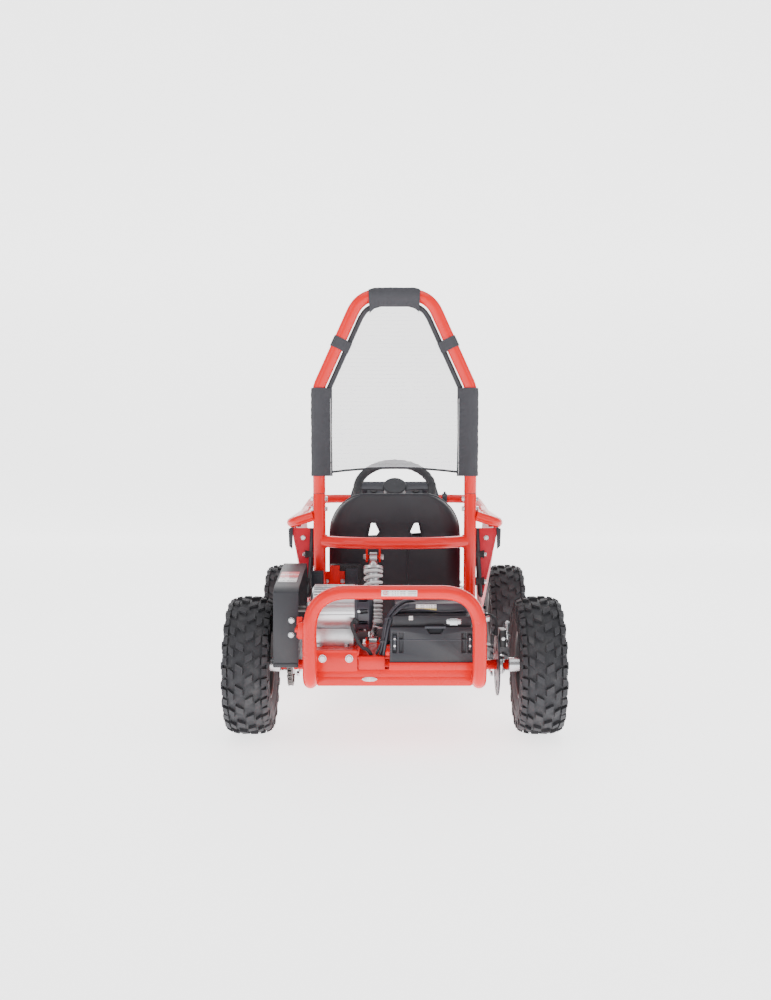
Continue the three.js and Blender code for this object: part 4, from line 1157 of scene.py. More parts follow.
scatter("panel_bolts", panel_bolts, bolt(11, 5), ZINC, "chassis")
print("panel bolts", len(panel_bolts))

# %% [markdown]
# ## Dash console, nose and controller
# These are simple mouldings. The console is a wedge behind the wheel, and the nose is one bent sheet
# over the front tubes with two raised ribs.

# %% Dash console and nose
def four_sided(sections):
    return rings([[Vector(p) for p in section] for section in sections])


console = four_sided([
    [(-146, 372, 588), (146, 372, 588), (146, 384, 598), (-146, 384, 598)],
    [(-140, 398, 611), (140, 398, 611), (140, 407, 620), (-140, 407, 620)],
    [(-128, 424, 634), (128, 424, 634), (128, 430, 640), (-128, 430, 640)],
])
legs = both_sides(slab(92, 108, 386, 403, 597, 624))
face = join(
    *[turned([(0, 0), (13, 0), (13, 2.5), (10, 3.5), (0, 3.5)], (x, 396.5, 611), 28, (0, -0.68, 0.73))
      for x in (-70, 70)],
    turned([(0, 0), (21, 0), (22, 2.5), (18, 3.5), (0, 3.5)], (0, 396.5, 611), 40, (0, -0.68, 0.73)),
)
piece("dash_console", join(console, legs), SMOOTH_BLACK, "chassis", "dash_panel", edge=2.5)
piece("dash_gauges", face, STEEL, "chassis", edge=0.4)

# Each station: half width, then the outer face's distance forward and height.
nose_stations = [
    (96, 506, 446), (112, 535, 443), (118, 560, 434),
    (119, 590, 410), (117, 614, 380), (110, 637, 338),
]


def nose_form():
    loops = []
    for half, y, z in smooth_rows(nose_stations, 5):
        face = []
        for k in range(17):
            x = half * (k / 8 - 1)
            raised = 2.0 * math.exp(-((abs(x) - 52) / 11) ** 2)
            sink = 10 * (x / half) ** 4
            face.append(Vector((x, y - sink * 0.6 + raised - 2, z - sink * 0.6)))
        loops.append(face + [p + Vector((0, -3, -1.5)) for p in reversed(face)])
    return rings(loops)


nose_tabs = both_sides(slab(76, 104, 625, 633, 324, 347))
piece("nose_sheet", join(nose_form(), nose_tabs), PANEL, "chassis", "nose_cowl", edge=0.8)
print("nose", len(made["nose_sheet"].data.polygons), "faces")

# %% [markdown]
# The motor controller sits behind the seat on a red bracket, with small switch boxes beside it.

# %% Controller on its bracket
control = join(
    slab(-180, -96, -206, -180, 334, 418),
    *[slab(x - 1.4, x + 1.4, -209.5, -205, 338, 414) for x in range(-172, -100, 8)],
)
piece("controller_box", control, STEEL, "chassis", "controller", edge=1.2)
control_bracket = join(
    slab(-196, -139, -211, -209.6, 318, 400),
    slab(-182, -154, -216, -210.5, 322, 416),
    bar((-194, -208.5, 372), (-206, -219, 372), 5, 16),
)
piece("controller_bracket", control_bracket, RED, "chassis", edge=0.6)
bracket_bolts = [((x, -211, 372), (0, -1, 0), (0, 0, 1)) for x in (-190, -146)]
scatter("controller_bolts", bracket_bolts, bolt(10, 4.5), ZINC, "chassis")
relay = join(
    slab(-136, -103, -222, -210.6, 364, 408),
    slab(-130, -110, -224, -221, 370, 392),
    slab(-230, -196, -272, -247, 356, 406),
    slab(-226, -200, -274, -271, 362, 398),
)
piece("switch_boxes", relay, SMOOTH_BLACK, "chassis", edge=1.5)
print("controller ribs", 9)

# %% [markdown]
# ## Swing arm
# The whole rear end hangs on one pivot. Its two legs run back to the axle's bearing blocks, where the
# bumper hoop carries on from them.

# %% Swing arm and bearing blocks
arm_path = [(206, -383.4, 167), (206, -330, 167), (168, -272, 178), (168, *PIVOT)]
lower_ear = [(-364, 170), (-364, 230), (-359, 236), (-345, 236), (-339, 230), (-322, 170)]
swing = join(
    both_sides(tube(arm_path, FRAME_OD, 40, 36)),
    both_sides(turned(band(8.8, 17, 144, 188), (0, *PIVOT), 36)),
    bar((-144.2, *PIVOT), (144.2, *PIVOT), 17, 36),
    bar((-200, -340, 172), (200, -340, 172), 14, 32),
    both_sides(weld((190, -340, 171), (1, 0, 0), 14)),
    clevis(SHOCK_X - 20, lower_ear),
    clevis(SHOCK_X + 15, lower_ear),
    bar((SHOCK_X - 21, *SHOCK_LOW), (SHOCK_X + 21, *SHOCK_LOW), 5.4),
    slab(20, 160, -350, -330, 176, 194.6),
)
piece("swing_arm_tubes", swing, RED, "swing", "swing_arm", edge=0.4)

block_outline = [(-466, 150), (-466, 184), (-460, 203), (-446, 224), (-440, 226), (-410, 226), (-404, 224),
                 (-390, 203), (-384, 184), (-384, 150)]
block = join(
    plate(block_outline, 200, 246),
    turned([(13.2, 246), (34, 246), (34, 255), (31, 258), (21, 258), (20, 255), (13.2, 255), (13.2, 246)],
           (0, AXLE_Y, AXLE_Z), 48),
)
for side_name, form in (("right", block), ("left", block.mirrored())):
    bore = bar((-300, AXLE_Y, AXLE_Z), (300, AXLE_Y, AXLE_Z), 13.2, 40)
    node = f"bearing_block_{side_name}"
    piece(f"bearing_housing_{side_name}", form, RED, "swing", node, edge=1.4, cuts=(bore,))
block_bolts = [
    ((s * 246, AXLE_Y + dy, AXLE_Z + dz), (s, 0, 0), (0, 0, 1))
    for s in (-1, 1) for dy, dz in ((-31, -18), (31, -18))
]
scatter("housing_bolts", block_bolts, bolt(12, 5.5), ZINC, "swing")
lower_bolts = [((SHOCK_X + s * 20, *SHOCK_LOW), (s, 0, 0), (0, 0, 1)) for s in (-1, 1)]
scatter("shock_low_bolts", lower_bolts, bolt(13, 6), ZINC, "swing")
print("housing bolts", len(block_bolts))

# %% [markdown]
# The rear bumper is one tube, bent at four corners. The lower bends are tighter.

# %% Bumper hoop
BUMPER_Y, BUMPER_TOP = -645, 391
bumper_rear = [(206, -466.6, 167), (206, BUMPER_Y, 167), (206, BUMPER_Y, BUMPER_TOP)]
hoop_back = [(-x, y, z) for x, y, z in bumper_rear] + list(reversed(bumper_rear))
hoop_back_run = rounded(hoop_back, [48, 95, 95, 48], 12)
bumper_tube = join(sweep(hoop_back_run, 17, 40), both_sides(weld((206, -468, 167), (0, 1, 0), 17)))
piece("bumper_hoop_tube", bumper_tube, RED, "swing", "bumper_hoop", edge=0.5)
print("bumper run", len(hoop_back_run), "points")

# %% [markdown]
# A box beam joins the hoop to the swing arm and carries the motor bracket and the battery.

# %% Rear cross member, motor bracket and battery tray
CROSS_BACK = -590
member = join(
    slab(-190, 190, CROSS_BACK, -560, 153, 195.2),
    slab(-90, -24, CROSS_BACK, -392, 190.8, 226),
    slab(-14, 198, -604, -330, 195, 198.7),
    slab(-14, 198, -607.5, -603.5, 195, 214),
    slab(-190, 190, CROSS_BACK - 0.8, CROSS_BACK + 3, 156, 176),
)
piece("cross_member_box", member, RED, "swing", "rear_cross_member", edge=2.2)
member_ends = both_sides(join(
    slab(186, 203, -586, -562, 155, 193),
    weld((190, -575, 174), (1, 0, 0), 17, 1.5),
))
piece("cross_member_ends", member_ends, RED, "swing", edge=1)
bracket = join(
    slab(-214, -92, -560, -416, 236, 242),
    slab(-200, -92, -596, -590.3, 190, 238),
    slab(-200, -92, -596, -555, 236, 242),
    slab(-186, -181, -559.7, -536, 195.3, 236),
    slab(-99, -94, -559.7, -536, 195.3, 236),
)
piece("motor_bracket", bracket, RED, "swing", "motor_plate", edge=1.2)
foot_bolts = [((x, -596, 222), (0, -1, 0), (1, 0, 0)) for x in (-178, -112)]
scatter("bracket_bolts", foot_bolts, bolt(14, 6, 1), ZINC, "swing")
print("bracket bolts", len(foot_bolts))

# %% [markdown]
# ## Battery case
# A moulded case sits in the tray. Its lid has a grip recess, and two latches on the back hold it down.
# The recess is cut with a Boolean, then every edge gets a small bevel so that it catches the light.

# %% Battery case, latches and leads
case = Span("battery_case")
LID_Z = case.z1 - 30
body = join(slab(case.x0, case.x1, case.y0, case.y1, case.z0, LID_Z))
notch_outline = ((76, 302), (124, 302), (114, 284), (86, 284))
notch = rings([[Vector((x, y, z)) for x, z in notch_outline] for y in (-606, -592)])
cutters = (
    notch,
    *[slab(x - 5, x + 5, -606, -597, 238, 286) for x in (0, 16, 170, 185)],
)
piece("battery_body", body, PLASTIC, "swing", "battery_case", edge=4, cuts=cutters)
lid = join(
    slab(-6, 190, -590, -306, LID_Z - 1, case.z1 - 4),
    slab(6, 178, -578, -318, case.z1 - 5, case.z1 - 0.2),
)
piece("battery_lid", lid, PLASTIC, "swing", edge=3)
PROUD = 0.6
seam_box = (case.x0 - PROUD, case.x1 + PROUD, case.y0 - PROUD, case.y1 + PROUD)
seams = join(*[slab(*seam_box, z, z + 2.2) for z in (212, 268)])
piece("battery_seams", seams, SMOOTH_BLACK, "swing", edge=0.8)
latches = join(
    *[slab(x - 3.5, x + 3.5, -601.5, -598, 244, 280) for x in (0, 185)],
    slab(74, 126, -603.5, -594, 297, 303),
)
piece("battery_latches", latches, SMOOTH_BLACK, "swing", edge=1)
latch_dots = [((x, -601.5, z), (0, -1, 0), (1, 0, 0)) for x in (0, 185) for z in (254, 270)]
scatter("latch_rivets", latch_dots, turned([(0, 0), (3, 0), (2.6, 1.2), (0, 1.6)], sides=16, axis=(0, 0, 1)),
        SPRING, "swing")
top_gear = join(
    slab(0, 184, -562, -372, 329.5, 354),
    sweep(smooth_rows([(4, -563, 334), (60, -566, 338), (120, -564, 333), (180, -563, 336)], 8), 3, 10),
    sweep(smooth_rows([(10, -560, 352), (40, -500, 357), (120, -470, 356), (176, -540, 355)], 8), 4, 10),
)
piece("battery_cover", top_gear, SMOOTH_BLACK, "swing", edge=7)
buckle = join(slab(128, 164, -592, -589.5, 306, 319), slab(136, 156, -593.6, -591, 303, 321))
piece("battery_buckle", buckle, ZINC, "swing", edge=0.8)
piece("gear_label_white", slab(53, 104, -563.4, -561.9, 342, 351), LABEL, "swing", edge=0)
piece("gear_label_yellow", slab(53, 104, -563.4, -561.9, 336, 342), YELLOW_LABEL, "swing", edge=0)
piece("small_label", slab(35, 45, -591, -589.9, 316, 326), LABEL, "swing", edge=0)
print("latch rivets", len(latch_dots))

# %% [markdown]
# The leads leave the case in a bundle and run along its lid to the middle beam. A lead is a swept
# circle along a smoothed run of points.

# %% Leads
def lead(points, radius, steps=8):
    return sweep(smooth_rows(points, steps), radius, 12)


bundle = join(
    lead([(70, -500, 340), (45, -545, 350), (18, -572, 346),
          (-8, -580, 318), (-20, -582, 270), (-28, -578, 228)], 4),
    lead([(66, -490, 343), (40, -535, 358), (10, -566, 352),
          (-16, -574, 320), (-26, -574, 270), (-36, -570, 228)], 4),
    lead([(60, -480, 341), (34, -520, 348), (2, -556, 344),
          (-22, -566, 312), (-32, -566, 262), (-46, -562, 228)], 3.2),
)
piece("battery_leads", bundle, SMOOTH_BLACK, "swing", edge=0)
tie_spots = [((-14, -574, 318), (0.3, -0.2, -1), (1, 0, 0)), ((-27, -573, 262), (0.1, 0, -1), (1, 0, 0))]
cable_tie = turned(band(10, 12.5, -2, 2), sides=24, axis=(0, 0, 1))
scatter("lead_ties", tie_spots, cable_tie, SMOOTH_BLACK, "swing")
print("leads", len(made["battery_leads"].data.polygons), "faces")

# %% [markdown]
# ## Motor
# The housing is a finned alloy barrel with a black end bell. The fins run along it over the upper
# half, so Geometry Nodes repeats one fin about the motor's axis.

# %% Motor
MOTOR_Y, MOTOR_Z, MOTOR_R = -486.87, 331, 62
middle = (0, MOTOR_Y, MOTOR_Z)
barrel = join(
    turned([(0, -214), (30, -214), (42, -213), (55, -209), (58, -205), (58, -100), (0, -100)], middle, 72),
    slab(-206, -104, MOTOR_Y - 46, MOTOR_Y + 46, 242.3, 286),
    turned([(8.5, -226), (15, -226), (17, -223), (17, -212), (8.5, -212), (8.5, -226)], middle, 32),
)
piece("motor_barrel", barrel, ALLOY, "swing", "motor", edge=1.2)


def spun(form, degrees, centre):
    """The form turned about a line along X."""
    c, s = math.cos(math.radians(degrees)), math.sin(math.radians(degrees))
    cy, cz = centre

    def rule(p):
        y, z = p.y - cy, p.z - cz
        return Vector((p.x, cy + y * c - z * s, cz + y * s + z * c))

    return form.bent(rule)


FIN_STEP = 9
fin = slab(-204, -102, MOTOR_Y - 1.3, MOTOR_Y + 1.3, MOTOR_Z + 56, MOTOR_Z + MOTOR_R)
ring_of("motor_fins", spun(fin, -99, (MOTOR_Y, MOTOR_Z)), 23, middle, ALLOY, "swing",
        step=math.radians(FIN_STEP), edge=0.5)
end_bell = turned(
    [(0, -100), (61, -100), (61.5, -97), (60, -94), (58, -93),
     (58, -64), (54, -59), (41, -55), (22, -54), (0, -54)],
    middle, 72,
)
vents = [
    spun(slab(-90, -70, MOTOR_Y - 5, MOTOR_Y + 5, MOTOR_Z + 54, MOTOR_Z + 64), a, (MOTOR_Y, MOTOR_Z))
    for a in range(0, 360, 30)
]
piece("motor_end_bell", end_bell, SMOOTH_BLACK, "swing", edge=0.8, cuts=(join(*vents),))
through_bolts = []
for a in (45, 135, 225, 315):
    dy, dz = 50 * math.cos(math.radians(a)), 50 * math.sin(math.radians(a))
    through_bolts.append(((-58, MOTOR_Y + dy * 0.8, MOTOR_Z + dz * 0.8), (1, 0, 0), (0, 0, 1)))
scatter("motor_through_bolts", through_bolts, bolt(8, 4), ZINC, "swing")
base_bolts = [((x, MOTOR_Y - 54, 242), (0, 0, 1), (1, 0, 0)) for x in (-190, -120)]
scatter("motor_base_bolts", base_bolts, bolt(12, 6), ZINC, "swing")
motor_lead = join(
    lead([(-98, MOTOR_Y - 58, 306), (-106, -556, 304), (-104, -566, 290), (-92, -572, 262), (-80, -574, 246),
          (-68, -572, 240), (-58, -566, 226)], 4.6),
    turned([(0, 0), (8, 0), (8, 8), (5, 16), (0, 16)], (-98, MOTOR_Y - 48, 306), 24, (0, -1, 0)),
)
piece("motor_leads", motor_lead, RUBBER, "swing", edge=0)
bell_screws = [
    ((-90, MOTOR_Y - 57, 331), (0, -1, 0), (0, 0, 1)),
    ((-76, MOTOR_Y - 30, 283), (0, -0.5, -1), (1, 0, 0)),
]
scatter("end_bell_screws", bell_screws, bolt(6, 3), ZINC, "swing")
print("fins", 23, "vents", len(vents))

# %% [markdown]
# ## Chain drive
# The sprockets' teeth have rounded valleys where the rollers sit. The chain is made one link at a time
# along the loop: two side plates and a roller, narrow and wide links in turn.

# %% Sprockets
PITCH = 12.7
CHAIN_X = Span("motor_pinion").x0 + 8


def pitch_radius(teeth):
    return PITCH / 2 / math.sin(math.pi / teeth)


# One tooth: the place within its pitch, and the height above the pitch circle.
TOOTH = [(-0.22, -1.2), (-0.12, -3.4), (0, -4.1), (0.12, -3.4), (0.22, -1.2), (0.40, 2.2), (0.60, 2.2)]


def toothed(teeth, x0, x1, centre):
    radius, outline = pitch_radius(teeth), []
    for k in range(teeth):
        middle_angle = math.tau * k / teeth
        for part, r in TOOTH:
            a = middle_angle + part * math.tau / teeth
            outline.append((centre[0] + (radius + r) * math.sin(a), centre[1] + (radius + r) * math.cos(a)))
    return plate(outline, x0, x1)


AXLE = (AXLE_Y, AXLE_Z)
pinion = join(
    toothed(10, CHAIN_X - 3, CHAIN_X + 3, (MOTOR_Y, MOTOR_Z)),
    bar((CHAIN_X - 8, MOTOR_Y, MOTOR_Z), (-203, MOTOR_Y, MOTOR_Z), 8, 32),
)
piece("pinion_teeth", pinion, DARK_METAL, "pinion", "motor_pinion", edge=0.4)
windows = join(*[
    bar((CHAIN_X - 9, AXLE_Y + 34 * math.cos(a), AXLE_Z + 34 * math.sin(a)),
        (CHAIN_X + 9, AXLE_Y + 34 * math.cos(a), AXLE_Z + 34 * math.sin(a)), 7.5, 24)
    for a in (math.tau * k / 6 for k in range(6))
])
sprocket = toothed(25, CHAIN_X - 3, CHAIN_X + 3, AXLE)
piece("axle_sprocket", sprocket, DARK_METAL, "rear_wheels", edge=0.4, cuts=(windows,))
print("pitch radii", round(pitch_radius(10), 2), round(pitch_radius(25), 2))

# %% [markdown]
# The chain follows a closed run round both sprockets, with inner and outer links by turns.

# %% Chain links
def chain_run():
    """The chain's run round both sprockets, as a closed line of points on their pitch circles."""
    dy, dz = MOTOR_Y - AXLE_Y, MOTOR_Z - AXLE_Z
    apart, base = math.hypot(dy, dz), math.atan2(dz, dy)
    big, small = pitch_radius(25), pitch_radius(10)
    spread = math.acos((big - small) / apart)
    run = []
    for (cy, cz), r, a, b in (
        (AXLE, big, base + spread, base + math.tau - spread),
        ((MOTOR_Y, MOTOR_Z), small, base - spread, base + spread),
    ):
        steps = 60
        run += [Vector((CHAIN_X, cy + r * math.cos(t), cz + r * math.sin(t)))
                for t in (a + (b - a) * k / steps for k in range(steps + 1))]
    return run + [run[0]]


def spaced(run, count):
    """Evenly spaced points along a run."""
    lengths = [(b - a).length for a, b in zip(run, run[1:])]
    total, out, i, gone = sum(lengths), [], 0, 0.0
    for k in range(count):
        want = total * k / count
        while gone + lengths[i] < want:
            gone += lengths[i]
            i += 1
        t = (want - gone) / max(lengths[i], 1e-9)
        out.append(run[i].lerp(run[i + 1], t))
    return out, total


rollers, chain_length = spaced(chain_run(), 44)


def link(half_gap, wall):
    side = []
    for x in (-1, 1):
        a, b = x * half_gap, x * (half_gap + wall)
        turns = [math.pi * (k / 6 - 0.5) for k in range(7)]
        outline = [(PITCH / 2 + 4.8 * math.cos(t), 4.8 * math.sin(t)) for t in turns]
        outline += [(0, 3.4)] + [(-y, z) for y, z in reversed(outline)] + [(0, -3.4)]
        side.append(rings([[Vector((s, d, -z)) for s, z in outline] for d in (min(a, b), max(a, b))]))
    side.append(bar((-PITCH / 2, -half_gap - wall - 0.6, 0), (-PITCH / 2, half_gap + wall + 0.6, 0), 3.6, 12))
    return join(*side)


for label, first, half_gap in (("inner", 0, 3.4), ("outer", 1, 4.9)):
    spots = []
    for k in range(first, 44, 2):
        a, b = rollers[k], rollers[(k + 1) % 44]
        along = (b - a).normalized()
        spots.append(((a + b) / 2, along.cross(Vector((1, 0, 0))), along))
    scatter(f"chain_{label}_links", spots, link(half_gap, 1.4), DARK_METAL, "swing", "chain")
print("chain", round(chain_length / PITCH, 2), "pitches long")

# %% [markdown]
# ## Chain guard
# The guard is a shallow open shell: a cover plate with a wall round its edge. Two bright screws hold
# it to a bracket on the bumper hoop.

# %% Chain guard
guard_outline = [
    (-575, 196), (-575, 382), (-571, 386), (-540, 396), (-306, 429), (-298, 430), (-281, 421), (-276, 414),
    (-276, 240), (-280, 233), (-324, 199), (-332, 196),
]
guard_inner = [(-572, 180), (-572, 381), (-539, 393), (-300.5, 426.8), (-279, 413), (-279, 238), (-332, 180)]
axle_hole = bar((-330, AXLE_Y, AXLE_Z), (-280, AXLE_Y, AXLE_Z), 19, 48)
piece("guard_shell", plate(guard_outline, -302, -239), PLASTIC, "swing", "chain_guard", edge=1.5,
      cuts=(plate(guard_inner, -299, -230), axle_hole))
guard_ribs = join(
    *[plate([(-565, z), (-565, z + 4), (-300, z + 4), (-300, z)], -302.8, -301.5) for z in (300, 340)],
    slab(-300, -241, -576.6, -574.5, 200, 206),
)
piece("guard_ribs", guard_ribs, PLASTIC, "swing", edge=0.5)
guard_bracket = join(
    slab(-243, -229, -577, -573, 270, 322),
    slab(-243, -226, -632, -575, 292, 302),
    slab(-234, -222, -648, -618, 278, 318),
)
piece("guard_bracket", guard_bracket, RED, "swing", edge=1)
guard_bolts = [((x, -575.2, z), (0, -1, 0), (0, 0, 1)) for x, z in ((-256, 313), (-257, 277))]
scatter("guard_bolts", guard_bolts, bolt(12, 5.5), ZINC, "swing")
SLOPE = (429 - 396) / (540 - 306)


def on_slope(y, lift):
    return (y, 396 + SLOPE * (y + 540) + lift)


for label, y0, y1, material in (("white", -505, -462, LABEL), ("red", -462, -400, RED_LABEL)):
    sheet = plate([on_slope(y0, 0), on_slope(y0, 0.8), on_slope(y1, 0.8), on_slope(y1, 0)], -297, -250)
    piece(f"guard_label_{label}", sheet, material, "swing", edge=0)
print("guard bolts", len(guard_bolts))

# %% [markdown]
# ## Rear axle, disc and brake
# The live axle turns in the bearing blocks. It carries the sprocket on the left and a drilled disc on
# the right, gripped by a cable-pulled caliper.

# %% Axle and disc
def on_axle(profile, sides=48):
    return turned(profile, (0, AXLE_Y, AXLE_Z), sides)


hub = [(0, 296), (16, 296), (18, 298), (18, 338), (22, 340), (43, 340), (44, 341), (44, 348), (0, 348)]
axle = join(
    on_axle([(0, -384), (11, -384), (12.5, -382), (12.5, 382), (11, 384), (0, 384)]),
    both_sides(on_axle(hub)),
    both_sides(on_axle([(12, 352), (16, 352), (16, 356), (12, 356)], 6)),
    on_axle([(0, 269.3), (24, 269.3), (26, 271), (26, 280), (24, 281.3), (0, 281.3)]),
    on_axle([(0, -266.5), (24, -266.5), (24, -262), (0, -262)]),
)
piece("axle_and_hubs", axle, ZINC, "rear_wheels", "rear_axle", edge=0.4)
disc = Span("brake_disc")
big_holes = [
    bar((disc.x0 - 4, AXLE_Y + 50 * math.cos(a), AXLE_Z + 50 * math.sin(a)),
        (disc.x1 + 4, AXLE_Y + 50 * math.cos(a), AXLE_Z + 50 * math.sin(a)), 11, 28)
    for a in (math.tau * (k + 0.5) / 5 for k in range(5))
]
small_holes = [
    bar((disc.x0 - 4, AXLE_Y + r * math.cos(a), AXLE_Z + r * math.sin(a)),
        (disc.x1 + 4, AXLE_Y + r * math.cos(a), AXLE_Z + r * math.sin(a)), 2.6, 12)
    for ring_row, r in enumerate((66, 73)) for a in (math.tau * (k + ring_row / 2) / 20 for k in range(20))
]
disc_form = on_axle(band(13.2, 80, 265, 269), 96)
piece("brake_disc_drilled", disc_form, SMOOTH_BLACK, "rear_wheels", "brake_disc", edge=0.3,
      cuts=(join(*big_holes, *small_holes),))
disc_bolts = []
for k in range(5):
    a = math.tau * k / 5
    disc_bolts.append(((281, AXLE_Y + 19.5 * math.cos(a), AXLE_Z + 19.5 * math.sin(a)), (1, 0, 0), (0, 0, 1)))
scatter("disc_bolts", disc_bolts, bolt(7, 3.5), ZINC, "rear_wheels")
print("disc holes", len(big_holes) + len(small_holes))

# %% [markdown]
# The caliper straddles the disc. A cable pulls its lever; here it is a plain rigid piece.

# %% Caliper, lever and brake cable
caliper = join(
    slab(271.2, 288, -462, -410, 226.5, 272),
    slab(248, 262.8, -462, -410, 226.5, 272),
    slab(248, 288, -462, -410, 262.2, 272),
    slab(200, 250, -456, -412, 226.5, 232),
    slab(248, 256, -470, -460, 236, 262),
)
pivot_hole = bar((284, -436, 252), (300, -436, 252), 6.4, 24)
piece("caliper_body", caliper, STEEL, "swing", "caliper", edge=2, cuts=(pivot_hole,))
caliper_bolts = [((288, y, z), (1, 0, 0), (0, 0, 1)) for y in (-454, -418) for z in (234, 264)]
caliper_bolts.append(((280, -462, 250), (0, -1, 0), (0, 0, 1)))
scatter("caliper_bolts", caliper_bolts, bolt(8, 4), ZINC, "swing")
lever = join(
    bar((284.6, -436, 252), (300, -436, 252), 6, 28),
    plate([(-444, 246), (-441, 243.5), (-431, 243.5), (-428, 246),
           (-430.5, 289), (-433, 292), (-439, 292), (-441.5, 289)], 290, 296),
    bar((288, -436, 286), (299.5, -436, 286), 3.6, 20),
)
piece("lever_arm", lever, ZINC, "brake_arm", "brake_lever", edge=0.6)
cable_run = [
    (262, -446, 266), (262, -462, 288), (256, -470, 306), (242, -462, 313),
    (230, -440, 302), (226, -410, 262), (224, -392, 212), (214, -376, 190),
    (196, -340, 190), (176, -300, 198), (166, -262, 204), (158, -236, 202),
]
ferrule = turned([(0, 0), (5.5, 0), (5.5, 14), (4, 18), (0, 18)], (262, -446, 258), 20, (0, -0.4, 1))
brake_cable = join(lead(cable_run, 3.2), ferrule)
piece("brake_cable", brake_cable, RUBBER, "swing", edge=0)
clip = turned(band(17.2, 19.5, -5, 5), (188, -303, 172), 32, (0.55, -0.83, -0.16))
piece("cable_clip", clip, SMOOTH_BLACK, "swing", edge=0.4)
print("cable", len(cable_run), "points")

# %% [markdown]
# ## Tyres
# An off-road tyre is a round carcass with rows of blocks. One pitch of the pattern is shaped as flat
# blocks, wrapped onto the crown, and then Geometry Nodes turns 20 copies round the axle.

# %% Tyre carcass and blocks
HALF = rear_tyre.x1 - rear_tyre.cx
BLOCK_H = 9
PITCHES = 20
carcass = [
    (84.6, -47), (90, -49), (97, -52), (112, -56.5), (130, -58), (146, -57), (157, -53), (164, -44),
    (167.5, -30), (168.8, -12), (168.8, 12), (167.5, 30), (164, 44), (157, 53), (146, 57), (130, 58),
    (112, 56.5), (97, 52), (90, 49), (84.6, 47), (84.6, 38), (92, 44), (150, 46), (160, 34), (160, -34),
    (150, -46), (92, -44), (84.6, -38), (84.6, -47),
]
side_rings = [(118, 57.6), (138, 57.9)]


def crown(x):
    """The carcass radius under a block."""
    return 168.8 - 13.5 * (abs(x) / HALF) ** 3.2


def block(outline, height=BLOCK_H, rows=4):
    """A tread block: outline is the base as (x, along) pairs from its front edge and back edge."""
    front, back = outline
    top_points, low_points = [], []
    for j in range(rows + 1):
        t = j / rows
        for k in range(5):
            u = k / 4
            a = Vector(front[0]).lerp(Vector(front[1]), u)
            b = Vector(back[0]).lerp(Vector(back[1]), u)
            p = a.lerp(b, t)
            inset = 0.93
            c = (Vector(front[0]) + Vector(front[1]) + Vector(back[0]) + Vector(back[1])) / 4
            q = c + (p - c) * inset
            low_points.append((p.x, p.y, -4))
            top_points.append((q.x, q.y, height))
    points = low_points + top_points
    n, w = (rows + 1) * 5, 5
    faces = []
    for j in range(rows):
        for k in range(4):
            a = j * w + k
            faces.append((a, a + w, a + w + 1, a + 1))
            faces.append((n + a, n + a + 1, n + a + w + 1, n + a + w))
    border = [k for k in range(5)] + [j * w + 4 for j in range(1, rows + 1)]
    border += [rows * w + k for k in (3, 2, 1, 0)] + [j * w for j in range(rows - 1, 0, -1)]
    for a, b in zip(border, border[1:] + border[:1]):
        faces.append((a, b, n + b, n + a))

    def wrap(p):
        radius = min(crown(p.x) + p.z, TYRE_R)
        angle = p.y / 168.8
        return Vector((p.x, radius * math.sin(angle), radius * math.cos(angle)))

    return Form(points, faces).bent(wrap)


def tread_pitch():
    step = math.tau * 168.8 / PITCHES
    forms = []
    for side, shift in ((1, 0.0), (-1, 0.5)):
        s = shift * step
        forms += [
            block((((side * 2, s + 4), (side * 22, s + 15)), ((side * 2, s + 22), (side * 22, s + 33)))),
            block((((side * 26, s - 8), (side * 40, s + 4)), ((side * 26, s + 12), (side * 40, s + 22)))),
            block((((side * 43, s - 3), (side * 56.5, s + 3)), ((side * 43, s + 20), (side * 56.5, s + 22)))),
            block((((side * 43, s + 26), (side * 56, s + 28)),
                   ((side * 43, s + 46), (side * 56, s + 45))), 6),
        ]
    lugs = [
        spun(slab(min(side * 54, side * 58.6), max(side * 54, side * 58.6), -9, 9, 143, 162), a + 9, (0, 0))
        for side in (1, -1) for a in (0,)
    ]
    return join(*forms, *lugs)


PITCH_FORM = tread_pitch()
print("one pitch", len(PITCH_FORM.faces), "faces")

# %% [markdown]
# ## Rims
# The pressed rims have rolled edges, a dished middle, four nuts on the hub and a valve.

# %% Wheels
rim = [
    (84, -50), (86.5, -50), (87, -48.5), (84, -46), (82.5, -40), (82.5, -30), (78, -22), (78, 22), (82.5, 30),
    (82.5, 40), (84, 46), (87, 48.5), (86.5, 50), (84, 50), (80.5, 47), (79, 40), (79, 31), (74, 22), (70, 8),
    (60, 4), (48, 6), (40, 3), (22, 3), (22, -3), (40, -3),
    (48, 0), (60, -3), (72, -6), (74.5, -22), (79, -31),
    (79, -40), (80.5, -47), (84, -50),
]


def dish_slots(y):
    slots = []
    for k in range(8):
        a = math.tau * (k + 0.5) / 8
        c, s = math.cos(a), math.sin(a)
        slots.append(bar((-20, y + 56 * c, AXLE_Z + 56 * s), (20, y + 56 * c, AXLE_Z + 56 * s), 6.5, 20))
    return join(*slots)


